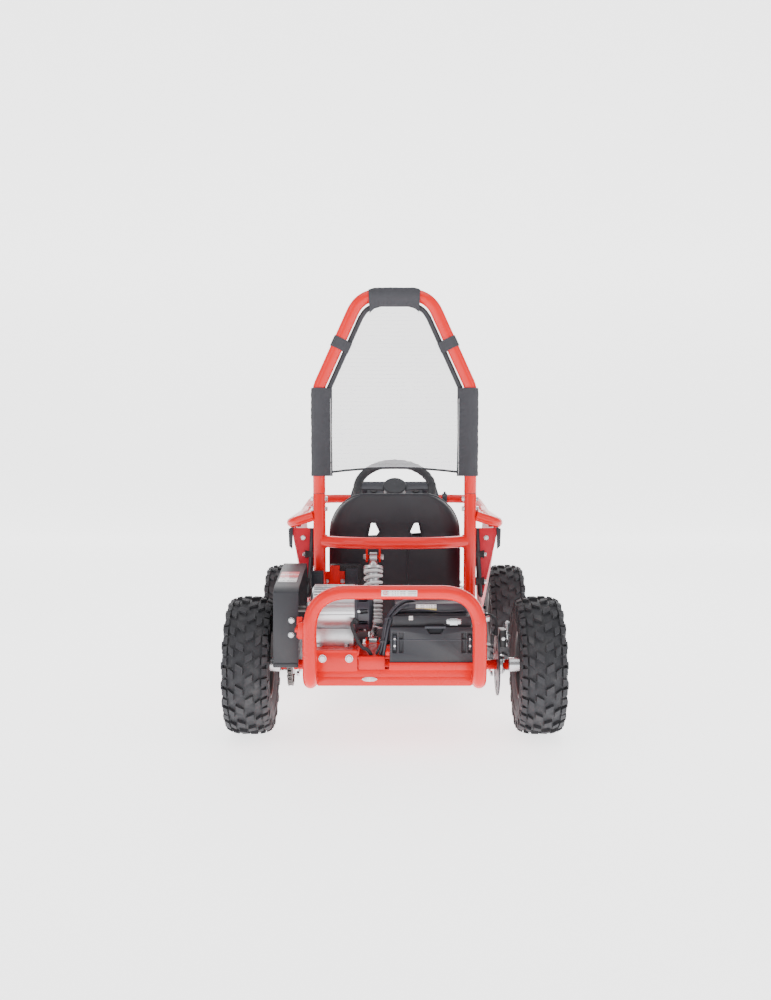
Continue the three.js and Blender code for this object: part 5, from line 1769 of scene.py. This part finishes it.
def wheel(name, y, body, bore):
    side = 1 if name.endswith("right") else -1
    centre = (side * TRACK, y, AXLE_Z)
    turn = (lambda f: f.moved(x=TRACK)) if side > 0 else (lambda f: f.moved(x=TRACK).mirrored())
    end, side_name = name.split("_")
    beads = []
    for r, x in side_rings:
        bead = [(r, x - 1.5), (r + 1.6, x), (r, x + 1.0), (r - 1.6, x), (r, x - 1.5)]
        beads.append(both_sides(turned(bead, (0, y, AXLE_Z), 96)))
    tyre = join(turned([(min(r, 176), x) for r, x in carcass], (0, y, AXLE_Z), 96), *beads)
    piece(f"{name}_carcass", turn(tyre), RUBBER, body, f"{end}_tyre_{side_name}", edge=0)
    ring_of(f"{name}_tread", turn(PITCH_FORM.moved(y=y, z=AXLE_Z)), PITCHES, centre, RUBBER, body, edge=0.8)
    rim_form = turned(rim, (0, y, AXLE_Z), 72)
    middle = turned(band(bore + 0.4, 24, -3.4, 3.4), (0, y, AXLE_Z), 40)
    valve = bar((12, y, AXLE_Z + 70), (30, y, AXLE_Z + 64), 2.6, 12)
    piece(f"{name}_rim", turn(join(rim_form, middle, valve)), STEEL, body,
          f"{end}_rim_{side_name}", edge=0.3, cuts=(turn(dish_slots(y)),))
    nuts = []
    for k in range(4):
        a = math.tau * (k + 0.5) / 4
        place = (side * (TRACK + 3), y + 33 * math.cos(a), AXLE_Z + 33 * math.sin(a))
        nuts.append((place, (side, 0, 0), (0, 0, 1)))
    nuts.append(((side * (TRACK + 8), y, AXLE_Z), (side, 0, 0), (0, 0, 1)))
    scatter(f"{name}_nuts", nuts, bolt(11, 6), ZINC, body)


for wheel_name, wheel_y, wheel_body, wheel_bore in (
    ("rear_right", AXLE_Y, "rear_wheels", 12.5),
    ("rear_left", AXLE_Y, "rear_wheels", 12.5),
    ("front_right", STUB_Y, "wheel_right", 10),
    ("front_left", STUB_Y, "wheel_left", 10),
):
    wheel(wheel_name, wheel_y, wheel_body, wheel_bore)
print("tread faces per tyre", len(made["rear_right_tread"].data.polygons))

# %% [markdown]
# ## Front suspension
# Each side has one A-shaped arm, a steered knuckle with the stub axle, and a track rod.

# %% Front arms and knuckles
KINGPIN_X = 282
arm = join(
    turned(band(8.4, 13, 428, 522), (ARM_X, 0, ARM_Z), 36, (0, 1, 0)),
    bar((ARM_X + 9, 440, ARM_Z), (KINGPIN_X - 6, 469.5, ARM_Z), 11, 28),
    bar((ARM_X + 9, 510, ARM_Z), (KINGPIN_X - 6, 480.5, ARM_Z), 11, 28),
    turned(band(6.8, 15, 148, 204), (KINGPIN_X, STUB_Y, 0), 36, (0, 0, 1)),
    slab(226, 250, STUB_Y - 18, STUB_Y - 13, 170, 216),
    slab(226, 250, STUB_Y + 13, STUB_Y + 18, 170, 216),
    bar((236, STUB_Y - 19, 206), (236, STUB_Y + 19, 206), 4.9),
    slab(226, 250, STUB_Y - 18, STUB_Y + 18, 167, 186),
)
kingpin = join(
    slab(KINGPIN_X - 13, 309, STUB_Y - 13, STUB_Y + 13, 134, 146),
    slab(KINGPIN_X - 13, 309, STUB_Y - 13, STUB_Y + 13, 206, 218),
    slab(300, 309, STUB_Y - 13, STUB_Y + 13, 134, 218),
    bar((KINGPIN_X, STUB_Y, 130), (KINGPIN_X, STUB_Y, 222), 6, 28),
    slab(KINGPIN_X - 16, KINGPIN_X + 6, STUB_Y, 561, 207, 215),
    bar((305, STUB_Y, AXLE_Z), (402, STUB_Y, AXLE_Z), 10, 36),
    turned([(9, 309), (15, 309), (15, 338), (13, 340), (9, 340)], (0, STUB_Y, AXLE_Z), 36),
)
for side_name, flip in (("right", False), ("left", True)):
    piece(f"a_arm_{side_name}", arm.mirrored() if flip else arm, RED, f"arm_{side_name}",
          f"front_arm_{side_name}", edge=0.6)
    piece(f"stub_{side_name}", kingpin.mirrored() if flip else kingpin, ZINC, f"stub_{side_name}",
          f"knuckle_{side_name}", edge=1)
    sign = -1 if flip else 1
    arm_bolts = [((sign * 236, STUB_Y + t * 18, 206), (0, t, 0), (0, 0, 1)) for t in (-1, 1)]
    scatter(f"arm_bolts_{side_name}", arm_bolts, bolt(10, 4), ZINC, f"arm_{side_name}")
print("kingpin at", KINGPIN_X)

# %% [markdown]
# The track rods and the column are bars and turned ends.

# %% Track rods and steering column
rod = join(
    bar((20, 552, 198), (250, 552, 198), 6, 24),
    bar((250, 552, 198), (262, 552, 198), 8.5, 6),
    bar((262, 552, 198), (276, 552, 198), 5, 20),
    turned([(0, 190), (8, 190), (10.5, 193), (11, 198), (10.5, 203), (7, 206.3), (0, 206.3)],
           (276, 552, 0), 32, (0, 0, 1)),
)
piece("track_rod_bar_right", rod, ZINC, "track_rod_right", "tie_rod_right", edge=0.4)
piece("track_rod_bar_left", rod.mirrored(), ZINC, "track_rod_left", "tie_rod_left", edge=0.4)
column = join(
    bar(column_at(16.4), column_at(582), 9, 32),
    bar(column_at(485), column_at(501), 13, 32),
    turned([(9, 400), (12, 400), (12, 408), (9, 408)], WHEEL_HUB, 32, COLUMN),
)
piece("column_shaft", column, ZINC, "steering", "steering_column", edge=0.5)
print("column tilt", round(math.degrees(COLUMN_TILT)))

# %% [markdown]
# ## Steering wheel
# The rim has a padded grip with finger ridges, so its radius changes along the ring. Three flat spokes
# meet at the hub under a round pad.

# %% Steering wheel
WHEEL_DIA, GRIP_R = 265, 14
ring_radius = WHEEL_DIA / 2 - GRIP_R
across = Vector((1, 0, 0))
upward = COLUMN.cross(across)


def on_wheel(angle, r, lift=0.0):
    return WHEEL_HUB + across * (r * math.cos(angle)) + upward * (r * math.sin(angle)) - COLUMN * lift


grip_steps = 180
grip_run = [on_wheel(math.tau * k / grip_steps, ring_radius) for k in range(grip_steps)]


def grip_radius(k):
    """Finger ridges stand out on two quarters of the ring and are faint on the others."""
    depth = 1 if (k // 45) % 2 else 0.15
    return GRIP_R - 0.7 - 0.7 * math.cos(math.tau * k / 6) * depth


grip_radii = [grip_radius(k) for k in range(grip_steps)]
grip = sweep(grip_run, grip_radii, 24, closed=True)
if upward.z < 0:
    upward = -upward


def spoke(angle, width=25):
    """One spoke, from the hub to the ring, as (distance, width, half thickness) sections."""
    sections = [
        (20, width + 8, 3.4), (45, width, 3.2),
        (85, width - 2, 3.0), (ring_radius - 4, width + 8, 3.0),
    ]
    along = across * math.cos(angle) + upward * math.sin(angle)
    beside = -across * math.sin(angle) + upward * math.cos(angle)
    loops = []
    for r, w, thick in sections:
        c = WHEEL_HUB + along * r
        corners = ((-1, -1), (1, -1), (1, 1), (-1, 1))
        loops.append([c + beside * (w / 2 * i) + COLUMN * (thick * j) for i, j in corners])
    return rings(loops)


hub_body = turned([(0, -10), (33, -10), (36, -6), (36, 12), (30, 16), (0, 16)], WHEEL_HUB, 56, COLUMN)
pad = turned([(0, -14), (28, -14), (35, -12.5), (37, -10), (37, -6), (0, -6)], WHEEL_HUB, 56, COLUMN)
piece("wheel_grip", grip, RUBBER, "steering", "steering_wheel", edge=0)
piece("wheel_spokes", join(spoke(0.05), spoke(math.pi - 0.05), spoke(-math.pi / 2), hub_body), SMOOTH_BLACK,
      "steering", edge=1.2)
piece("wheel_pad", pad, PLASTIC, "steering", edge=1)
hub_screws = [
    (WHEEL_HUB + across * (26 * math.cos(a)) + upward * (26 * math.sin(a)) + COLUMN * 14.5, COLUMN, across)
    for a in (math.tau * (k + 0.25) / 6 for k in range(6))
]
scatter("hub_screws", hub_screws, bolt(6, 3), ZINC, "steering")
print("ring radius", ring_radius)

# %% [markdown]
# Each pedal turns about a pin near the floor, and has a ribbed rubber pad.

# %% Pedals
for name, node, x in (("throttle", "throttle_pedal", 74), ("brake", "brake_pedal", -74)):
    pedal = join(
        turned(band(4.6, 8, -14, 14), (x, 520, 166), 28),
        slab(x - 5, x + 5, 515, 525, 173, 250),
        slab(x - 26, x + 26, 512, 516, 236, 306),
    )
    treads = join(*[slab(x - 22, x + 22, 510.2, 513, z, z + 5) for z in range(241, 300, 11)])
    piece(f"{name}_pedal_arm", pedal, STEEL, name, node, edge=1)
    piece(f"{name}_pad", treads, RUBBER, name, edge=0.8)
print("pedals done")

# %% [markdown]
# ## Dampers and springs
# Each damper is a body with an upper eye, and a rod with a lower eye. The spring is a wound wire
# between the spring seats, its turns placed from a list of where each one begins.

# %% Damper builder
class Damper:
    """A damper between two pins, drawn along its own axis."""

    def __init__(self, top, low, across, **sizes):
        self.top, self.low = Vector(top), Vector(low)
        self.across = Vector(across)
        self.axis = (self.low - self.top).normalized()
        self.length = (self.low - self.top).length
        self.size = sizes

    def at(self, t):
        return self.top + self.axis * t

    def eye(self, centre):
        s = self.size
        ring = band(s["pin"], s["eye"], -10, 10)
        return turned(ring, centre, 36, self.across)

    def body(self):
        s = self.size
        top = s["seat_top"]
        profile = [
            (s["body"] * 0.62, s["eye"] - 3), (s["body"] * 0.8, s["eye"] + 2), (s["body"] * 0.8, top - 8),
            (s["seat"] - 1, top - 8), (s["seat"], top - 7), (s["seat"], top - 1), (s["seat"] - 1, top),
            (s["body"], top), (s["body"], s["body_end"] - 1), (s["body"] - 1, s["body_end"]),
            (s["rod"] + 0.6, s["body_end"]), (s["rod"] + 0.6, s["rod_start"] - 10), (0, s["rod_start"] - 10),
        ]
        sunk, ridge = s["body"] - 1, s["body"] + 1.2
        collars = [
            turned([(sunk, t), (ridge, t + 0.8), (sunk, t + 1.6), (sunk, t)], self.top, 36, self.axis)
            for t in range(int(top) + 4, int(s["body_end"]) - 20, 4)
        ]
        barrel = turned([(0, s["eye"] - 3)] + profile, self.top, 40, self.axis)
        return join(self.eye(self.top), barrel, *collars)

    def rod(self):
        s = self.size
        end = self.length - s["seat_low"]
        profile = [
            (0, s["rod_start"] + 20), (s["rod"], s["rod_start"] + 20), (s["rod"], end), (s["seat"] - 1, end),
            (s["seat"], end + 1), (s["seat"], end + 7), (s["seat"] - 1, end + 8), (s["body"] * 0.8, end + 8),
            (s["body"] * 0.8, self.length - s["eye"] - 2), (s["body"] * 0.62, self.length - s["eye"] + 3),
            (0, self.length - s["eye"] + 3),
        ]
        return join(self.eye(self.low), turned(profile, self.top, 40, self.axis))

    def spring(self, turn_starts):
        s = self.size
        first = self.at(s["seat_top"] + s["wire"] + 0.3)
        last = self.at(self.length - s["seat_low"] - s["wire"] - 0.3)
        return coil(first, last, s["seat"] - s["wire"] - 0.6, s["wire"], turn_starts, 28, 12)


OPEN_TURNS = [0.0, 0.02, 0.14, 0.27, 0.40, 0.52, 0.62, 0.71, 0.79, 0.86, 0.92, 0.98, 1.0]
print("turns", len(OPEN_TURNS) - 1)

# %% [markdown]
# The rear damper has a silver tube and a white spring.

# %% Rear damper
rear = Damper(
    (SHOCK_X, *SHOCK_TOP), (SHOCK_X, *SHOCK_LOW), (1, 0, 0),
    eye=13, pin=6.3, body=15, seat=27, rod=6, wire=4.2, seat_top=34, seat_low=46, body_end=124, rod_start=62,
)
piece("rear_damper_tube", rear.body(), ALLOY, "rear_damper", "rear_shock_body", edge=0)
piece("rear_damper_shaft", rear.rod(), ZINC, "rear_damper_rod", "rear_shock_rod", edge=0)
rear_spring = piece("rear_spring_wire", rear.spring(OPEN_TURNS), SPRING, "rear_damper", "rear_spring", edge=0)


def squash_spring(obj, damper):
    anchor = damper.at(damper.size["seat_top"]) * MM
    tuple(damper.axis)
    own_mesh(obj)


squash_spring(rear_spring, rear)
print("rear damper", round(rear.length, 1), "mm between pins")

# %% [markdown]
# The front dampers are a size smaller, one on each side.

# %% Front dampers
TURNS_FRONT = [0.0, 0.02, 0.13, 0.25, 0.37, 0.49, 0.61, 0.73, 0.85, 0.98, 1.0]
for side_name, sign in (("right", 1), ("left", -1)):
    damper = Damper(
        (sign * 160, STUB_Y, 425), (sign * 236, STUB_Y, 206), (0, 1, 0),
        eye=11, pin=5.8, body=12.5, seat=23, rod=5, wire=3.6,
        seat_top=30, seat_low=38, body_end=122, rod_start=60,
    )
    piece(f"front_damper_tube_{side_name}", damper.body(), STEEL, "chassis",
          f"front_shock_body_{side_name}", edge=0)
    piece(f"front_damper_shaft_{side_name}", damper.rod(), ZINC, f"front_damper_rod_{side_name}",
          f"front_shock_rod_{side_name}", edge=0)
    wire = piece(f"front_spring_wire_{side_name}", damper.spring(TURNS_FRONT), SPRING, "chassis",
                 f"front_spring_{side_name}", edge=0)
    squash_spring(wire, damper)
print("front damper", round(damper.length, 1), "mm between pins")

# %% [markdown]
# ## The net behind the driver
# A fine white mesh is stretched in the roll hoop. Black piping binds its edge, and black sleeves and
# straps fold round the tubes. The mesh is one thin sheet.

# %% Net outline
NET_LOW, NET_HIGH = 676, 1136
net_side = [
    (676, 186), (720, 186), (800, 186.2), (870, 186.5), (899, 187), (960, 159), (1020, 131.5), (1097, 96),
    (1115, 84), (1126, 71), (1132, 56), (1136, 38),
]


def net_half(z):
    for (z0, w0), (z1, w1) in zip(net_side, net_side[1:]):
        if z <= z1:
            return w0 + (w1 - w0) * (z - z0) / (z1 - z0)
    return net_side[-1][1]


def net_point(x, z):
    """Stretched cloth bellies back a little between its edges."""
    half = max(net_half(min(z, NET_HIGH)), 1)
    belly = 5 * (1 - (x / half) ** 2) * math.sin(math.pi * (z - NET_LOW) / (NET_HIGH - NET_LOW))
    return Vector((x, hoop_y(z) - belly, z))


def low_edge(u):
    return NET_LOW + 13 * (1 - u * u)


ROWS, COLUMNS = 64, 48
net_points, net_faces = [], []
for j in range(ROWS + 1):
    for k in range(COLUMNS + 1):
        u = 2 * k / COLUMNS - 1
        bottom = low_edge(u)
        z = bottom + (NET_HIGH - bottom) * j / ROWS
        net_points.append(net_point(u * net_half(z), z))
for j in range(ROWS):
    for k in range(COLUMNS):
        a = j * (COLUMNS + 1) + k
        net_faces.append((a, a + 1, a + COLUMNS + 2, a + COLUMNS + 1))
net_sheet = bpy.data.objects.new("net_mesh", mesh_of("net_mesh", Form(net_points, net_faces)))
bpy.context.collection.objects.link(net_sheet)
shade(net_sheet.data)
dress(net_sheet, NET, "chassis", "net")

# %% [markdown]
# The net has piping along its edge, tape on its slopes, and cloth wrapped round the tubes.

# %% Piping, sleeves and straps
EDGE_STEPS = 60
edge_heights = [NET_LOW + (NET_HIGH - NET_LOW) * k / EDGE_STEPS for k in range(EDGE_STEPS + 1)]
edge_run = [net_point(net_half(z), z) for z in edge_heights]
edge_all = [Vector((-p.x, p.y, p.z)) for p in edge_run] + list(reversed(edge_run))
bottom_run = [net_point(u * net_half(low_edge(u)), low_edge(u)) for u in (k / 20 - 1 for k in range(41))]
bottom_run.reverse()
PIPING_R = 3.0
piping = join(sweep(edge_all, PIPING_R, 12), sweep(bottom_run, PIPING_R, 12))
piece("net_piping", piping, PIPING, "chassis", edge=0)


def wrap_of(run, radius, tails, seed, folds=1.0, step=5):
    """Cloth folded round a tube with its two layers sewn together at a tail beside the tube."""
    loops = []
    for i, (point, tail) in enumerate(zip(run, tails)):
        inward = tail - point
        reach = inward.length
        inward.normalize()
        back = Vector((0, -1, 0))
        back = (back - inward * back.dot(inward)).normalized()
        open_angle = math.acos(min((radius - 1.5) / reach, 0.99))
        loop = []
        for k in range(27):
            a = open_angle + (math.tau - 2 * open_angle) * k / 26
            r = radius + folds * 0.6 * math.sin(a * 2 + i * 0.5 + seed) * math.sin(i * 0.8 + seed)
            loop.append(point + r * (math.cos(a) * inward + math.sin(a) * back))
        tips = (tail - back * 1.5, tail + back * 1.5)
        starts = (loop[-1], loop[0])
        under = [starts[0].lerp(tips[0], t / step) for t in range(1, step + 1)]
        over = [tips[1].lerp(starts[1], t / step) for t in range(step)]
        for t, p in enumerate(over):
            across = math.sin(math.pi * t / step)
            crease = math.sin(i * 0.75 + t * 0.9 + seed) + 0.6 * math.sin(i * 1.7 - t * 1.3)
            over[t] = p + back * folds * 1.5 * across * crease
        loops.append(loop + under + over)
    return rings(loops)


def between(a, b, count):
    """Evenly spaced points from one place to another."""
    a, b = Vector(a), Vector(b)
    return [a.lerp(b, k / count) for k in range(count + 1)]


def along_side(z):
    """The hoop's centre line at a height, on the right."""
    right = [p for p in rounded(hoop_half, 80, 24)]
    for a, b in zip(right, right[1:]):
        if a.z <= z <= b.z:
            return a.lerp(b, (z - a.z) / (b.z - a.z))
    return right[-1]


def droop(x, level, bend):
    """How far the cloth hangs past its level middle stretch."""
    return max(0, abs(x) - level) ** 2 * bend


SLEEVE_LOW, SLEEVE_LENGTH, SLEEVE_STEPS, SEAM_X = 667, 240, 60, 172
steps = range(SLEEVE_STEPS + 1)
side_run = [along_side(SLEEVE_LOW + SLEEVE_LENGTH * k / SLEEVE_STEPS) for k in steps]
seam_x = [SEAM_X - 3 * abs(k / SLEEVE_STEPS - 0.5) for k in steps]
side_tails = [Vector((x, hoop_y(p.z), p.z)) for x, p in zip(seam_x, side_run)]
top_run = [Vector((x, hoop_y(TOP_Z), TOP_Z - droop(x, 45, 0.010))) for x in range(-70, 71, 3)]
TAIL_Z = TOP_Z - 31
top_tails = [Vector((p.x * 0.97, hoop_y(TAIL_Z), TAIL_Z - droop(p.x, 40, 0.02))) for p in top_run]
side_sleeves = both_sides(wrap_of(side_run, 21.0, side_tails, 0.4, 1.2))
sleeves = join(side_sleeves, wrap_of(top_run, 20.5, top_tails, 1.3, 0.8))
piece("net_sleeves", sleeves, BLACK_CLOTH, "chassis", edge=0)


def slope_at(t):
    return Vector(on_hoop(UPRIGHT_X + (TOP_X - UPRIGHT_X) * t, KNEE_Z + (TOP_Z - KNEE_Z) * t))


strap_run = between(slope_at(0.43), slope_at(0.54), 8)
strap_tails = [p + Vector((-31, -2, -15)) for p in strap_run]
straps = both_sides(wrap_of(strap_run, 19.0, strap_tails, 2.0, 0.4))
piece("net_straps", straps, BLACK_CLOTH, "chassis", edge=0.4)


def binding(run, width):
    """The flat black tape sewn over the net's edge."""
    loops = []
    for i, p in enumerate(run):
        before, after = run[max(i - 1, 0)], run[min(i + 1, len(run) - 1)]
        on = (after - before).normalized()
        inward = on.cross(Vector((0, 1, 0))).normalized()
        if inward.x * p.x > 0:
            inward = -inward
        a, b = p, p + inward * width
        up = Vector((0, -1.6, 0))
        loops.append([a + up, b + up, b - up, a - up])
    return rings(loops)


slope_run = [p for p in edge_run if p.z > 890]
piece("net_binding", both_sides(binding(slope_run, 11)), BLACK_CLOTH, "chassis", edge=0.3)
print("sleeve faces", len(made["net_sleeves"].data.polygons))

# %% [markdown]
# Stitches run down each side sleeve. Each is a short thread, set on a point with Geometry Nodes.

# %% Stitches
thread = bar((-2.1, 0, 0.5), (2.1, 0, 0.5), 0.55, 6)
STITCH_LOW, STITCH_GAP, STITCH_COUNT = 672, 4, 52
SEAM_INSET = 33
stitch_spots = []
for sign in (-1, 1):
    for k in range(STITCH_COUNT):
        z = STITCH_LOW + k * STITCH_GAP
        x = UPRIGHT_X - SEAM_INSET
        stitch_spots.append(((sign * x, hoop_y(z) - 4.2, z), (0, -1, 0), (0, 0, 1)))
scatter("net_stitches", stitch_spots, thread, SPRING, "chassis")
print("stitches", len(stitch_spots))

# %% [markdown]
# ## Labels
# Plain labels stand where the real kart has its notices. They carry printed bars in place of words,
# and a ring with a slash that any such notice might have.

# %% Labels
label_z = BUMPER_TOP
curve_label = []
for x in (-32, -10, 10, 32, 54):
    curve_label.append([Vector((x, BUMPER_Y - 17.4 * math.cos(a), label_z + 17.4 * math.sin(a)))
                        for a in (math.radians(d) for d in range(-26, 30, 8))])
label_loops = [loop + [p + Vector((0, 0.8, 0)) for p in reversed(loop)] for loop in curve_label]
piece("bumper_label", rings(label_loops), LABEL, "swing", edge=0)
mark = turned(band(3.6, 5.4, 0, 0.5), (-23, BUMPER_Y - 17.5, label_z), 32, (0, -1, 0))
slash = slab(-23.8, -22.2, BUMPER_Y - 18.0, BUMPER_Y - 17.5, label_z - 4.4, label_z + 4.4)
piece("label_ring", join(mark, slash), RED_LABEL, "swing", edge=0)
oval = [(-62 + 19 * math.cos(a), 170 + 5.5 * math.sin(a)) for a in (math.tau * k / 32 for k in range(32))]
piece("oval_plate", plate_xz(oval, CROSS_BACK - 1.8, CROSS_BACK - 0.4), LABEL, "swing", edge=0.3)
print("labels done")

# %% [markdown]
# ## Floor and light
# A large pale floor curves up into a backdrop, and the paper itself glows a little. One wide soft
# light above, two behind at the sides, one in front and a pale sky keep the light even.

# %% Floor and light
FLOOR_HALF = 12
FLOOR_DROP = 0.0005
floor_points = []
bend = [math.pi / 2 * k / 16 for k in range(1, 17)]
profile = [(-9, 0.0), (7, 0.0)] + [(7 + 3 * math.sin(a), 3 - 3 * math.cos(a)) for a in bend]
profile.append((10, 12))
for x in (-FLOOR_HALF, FLOOR_HALF):
    floor_points += [(x, y, z - FLOOR_DROP) for y, z in profile]
n = len(profile)
floor_faces = [(k, k + 1, n + k + 1, n + k) for k in range(n - 1)]
floor_mesh = bpy.data.meshes.new("studio_floor")
floor_mesh.from_pydata(floor_points, [], floor_faces)
floor_mesh.shade_smooth()
floor = bpy.data.objects.new("studio_floor", floor_mesh)
bpy.context.collection.objects.link(floor)
paper = Shader("studio_paper", "spring_white")
paper_tone = paper.blend(paper.noise(0.6, 2), (0.90, 0.90, 0.90), (0.94, 0.94, 0.94))
glow = {"emission_color": paper_tone, "emission_strength": 2.4}
floor_mesh.materials.append(paper.finish(color=paper_tone, roughness=0.75, **glow))
floor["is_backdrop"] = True

world = bpy.data.worlds.new("studio")
world.use_nodes = True
world.node_tree.nodes["Background"].inputs[0].default_value = (1, 1, 1, 1)
world.node_tree.nodes["Background"].inputs[1].default_value = 0.6
bpy.context.scene.world = world


def soft_light(name, place, target, size, power):
    data = bpy.data.lights.new(name, "AREA")
    data.shape = "RECTANGLE"
    data.size, data.size_y = size
    data.energy = power
    obj = bpy.data.objects.new(name, data)
    obj.location = place
    obj.rotation_euler = (Vector(target) - Vector(place)).to_track_quat("-Z", "Y").to_euler()
    bpy.context.collection.objects.link(obj)


soft_light("top_light", (0, -0.8, 3.4), (0, 0, 0.4), (3.2, 3.2), 55)
soft_light("left_light", (-2.8, -2.4, 1.9), (0, 0, 0.5), (1.6, 2.2), 28)
soft_light("right_light", (2.8, -2.0, 1.7), (0, 0, 0.5), (1.2, 2.2), 18)
soft_light("front_light", (0.5, 3.2, 2.2), (0, 0, 0.5), (2.2, 1.6), 26)
print("lights", len(bpy.data.lights))

# %% [markdown]
# ## Check the size and finish
# The dressed model's box is set against the imported one's, and the difference at each side is printed.
# The dressed model has to fill the same box as the imported one.

# %% Size and finish
visual_low, visual_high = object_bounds()
for axis_name, a, b, c, d in zip("xyz", cad_low, visual_low, cad_high, visual_high):
    print(axis_name, "low", round(b - a, 4), "high", round(d - c, 4))
print("pieces", len(made), "faces", sum(len(o.data.polygons) for o in made.values()))
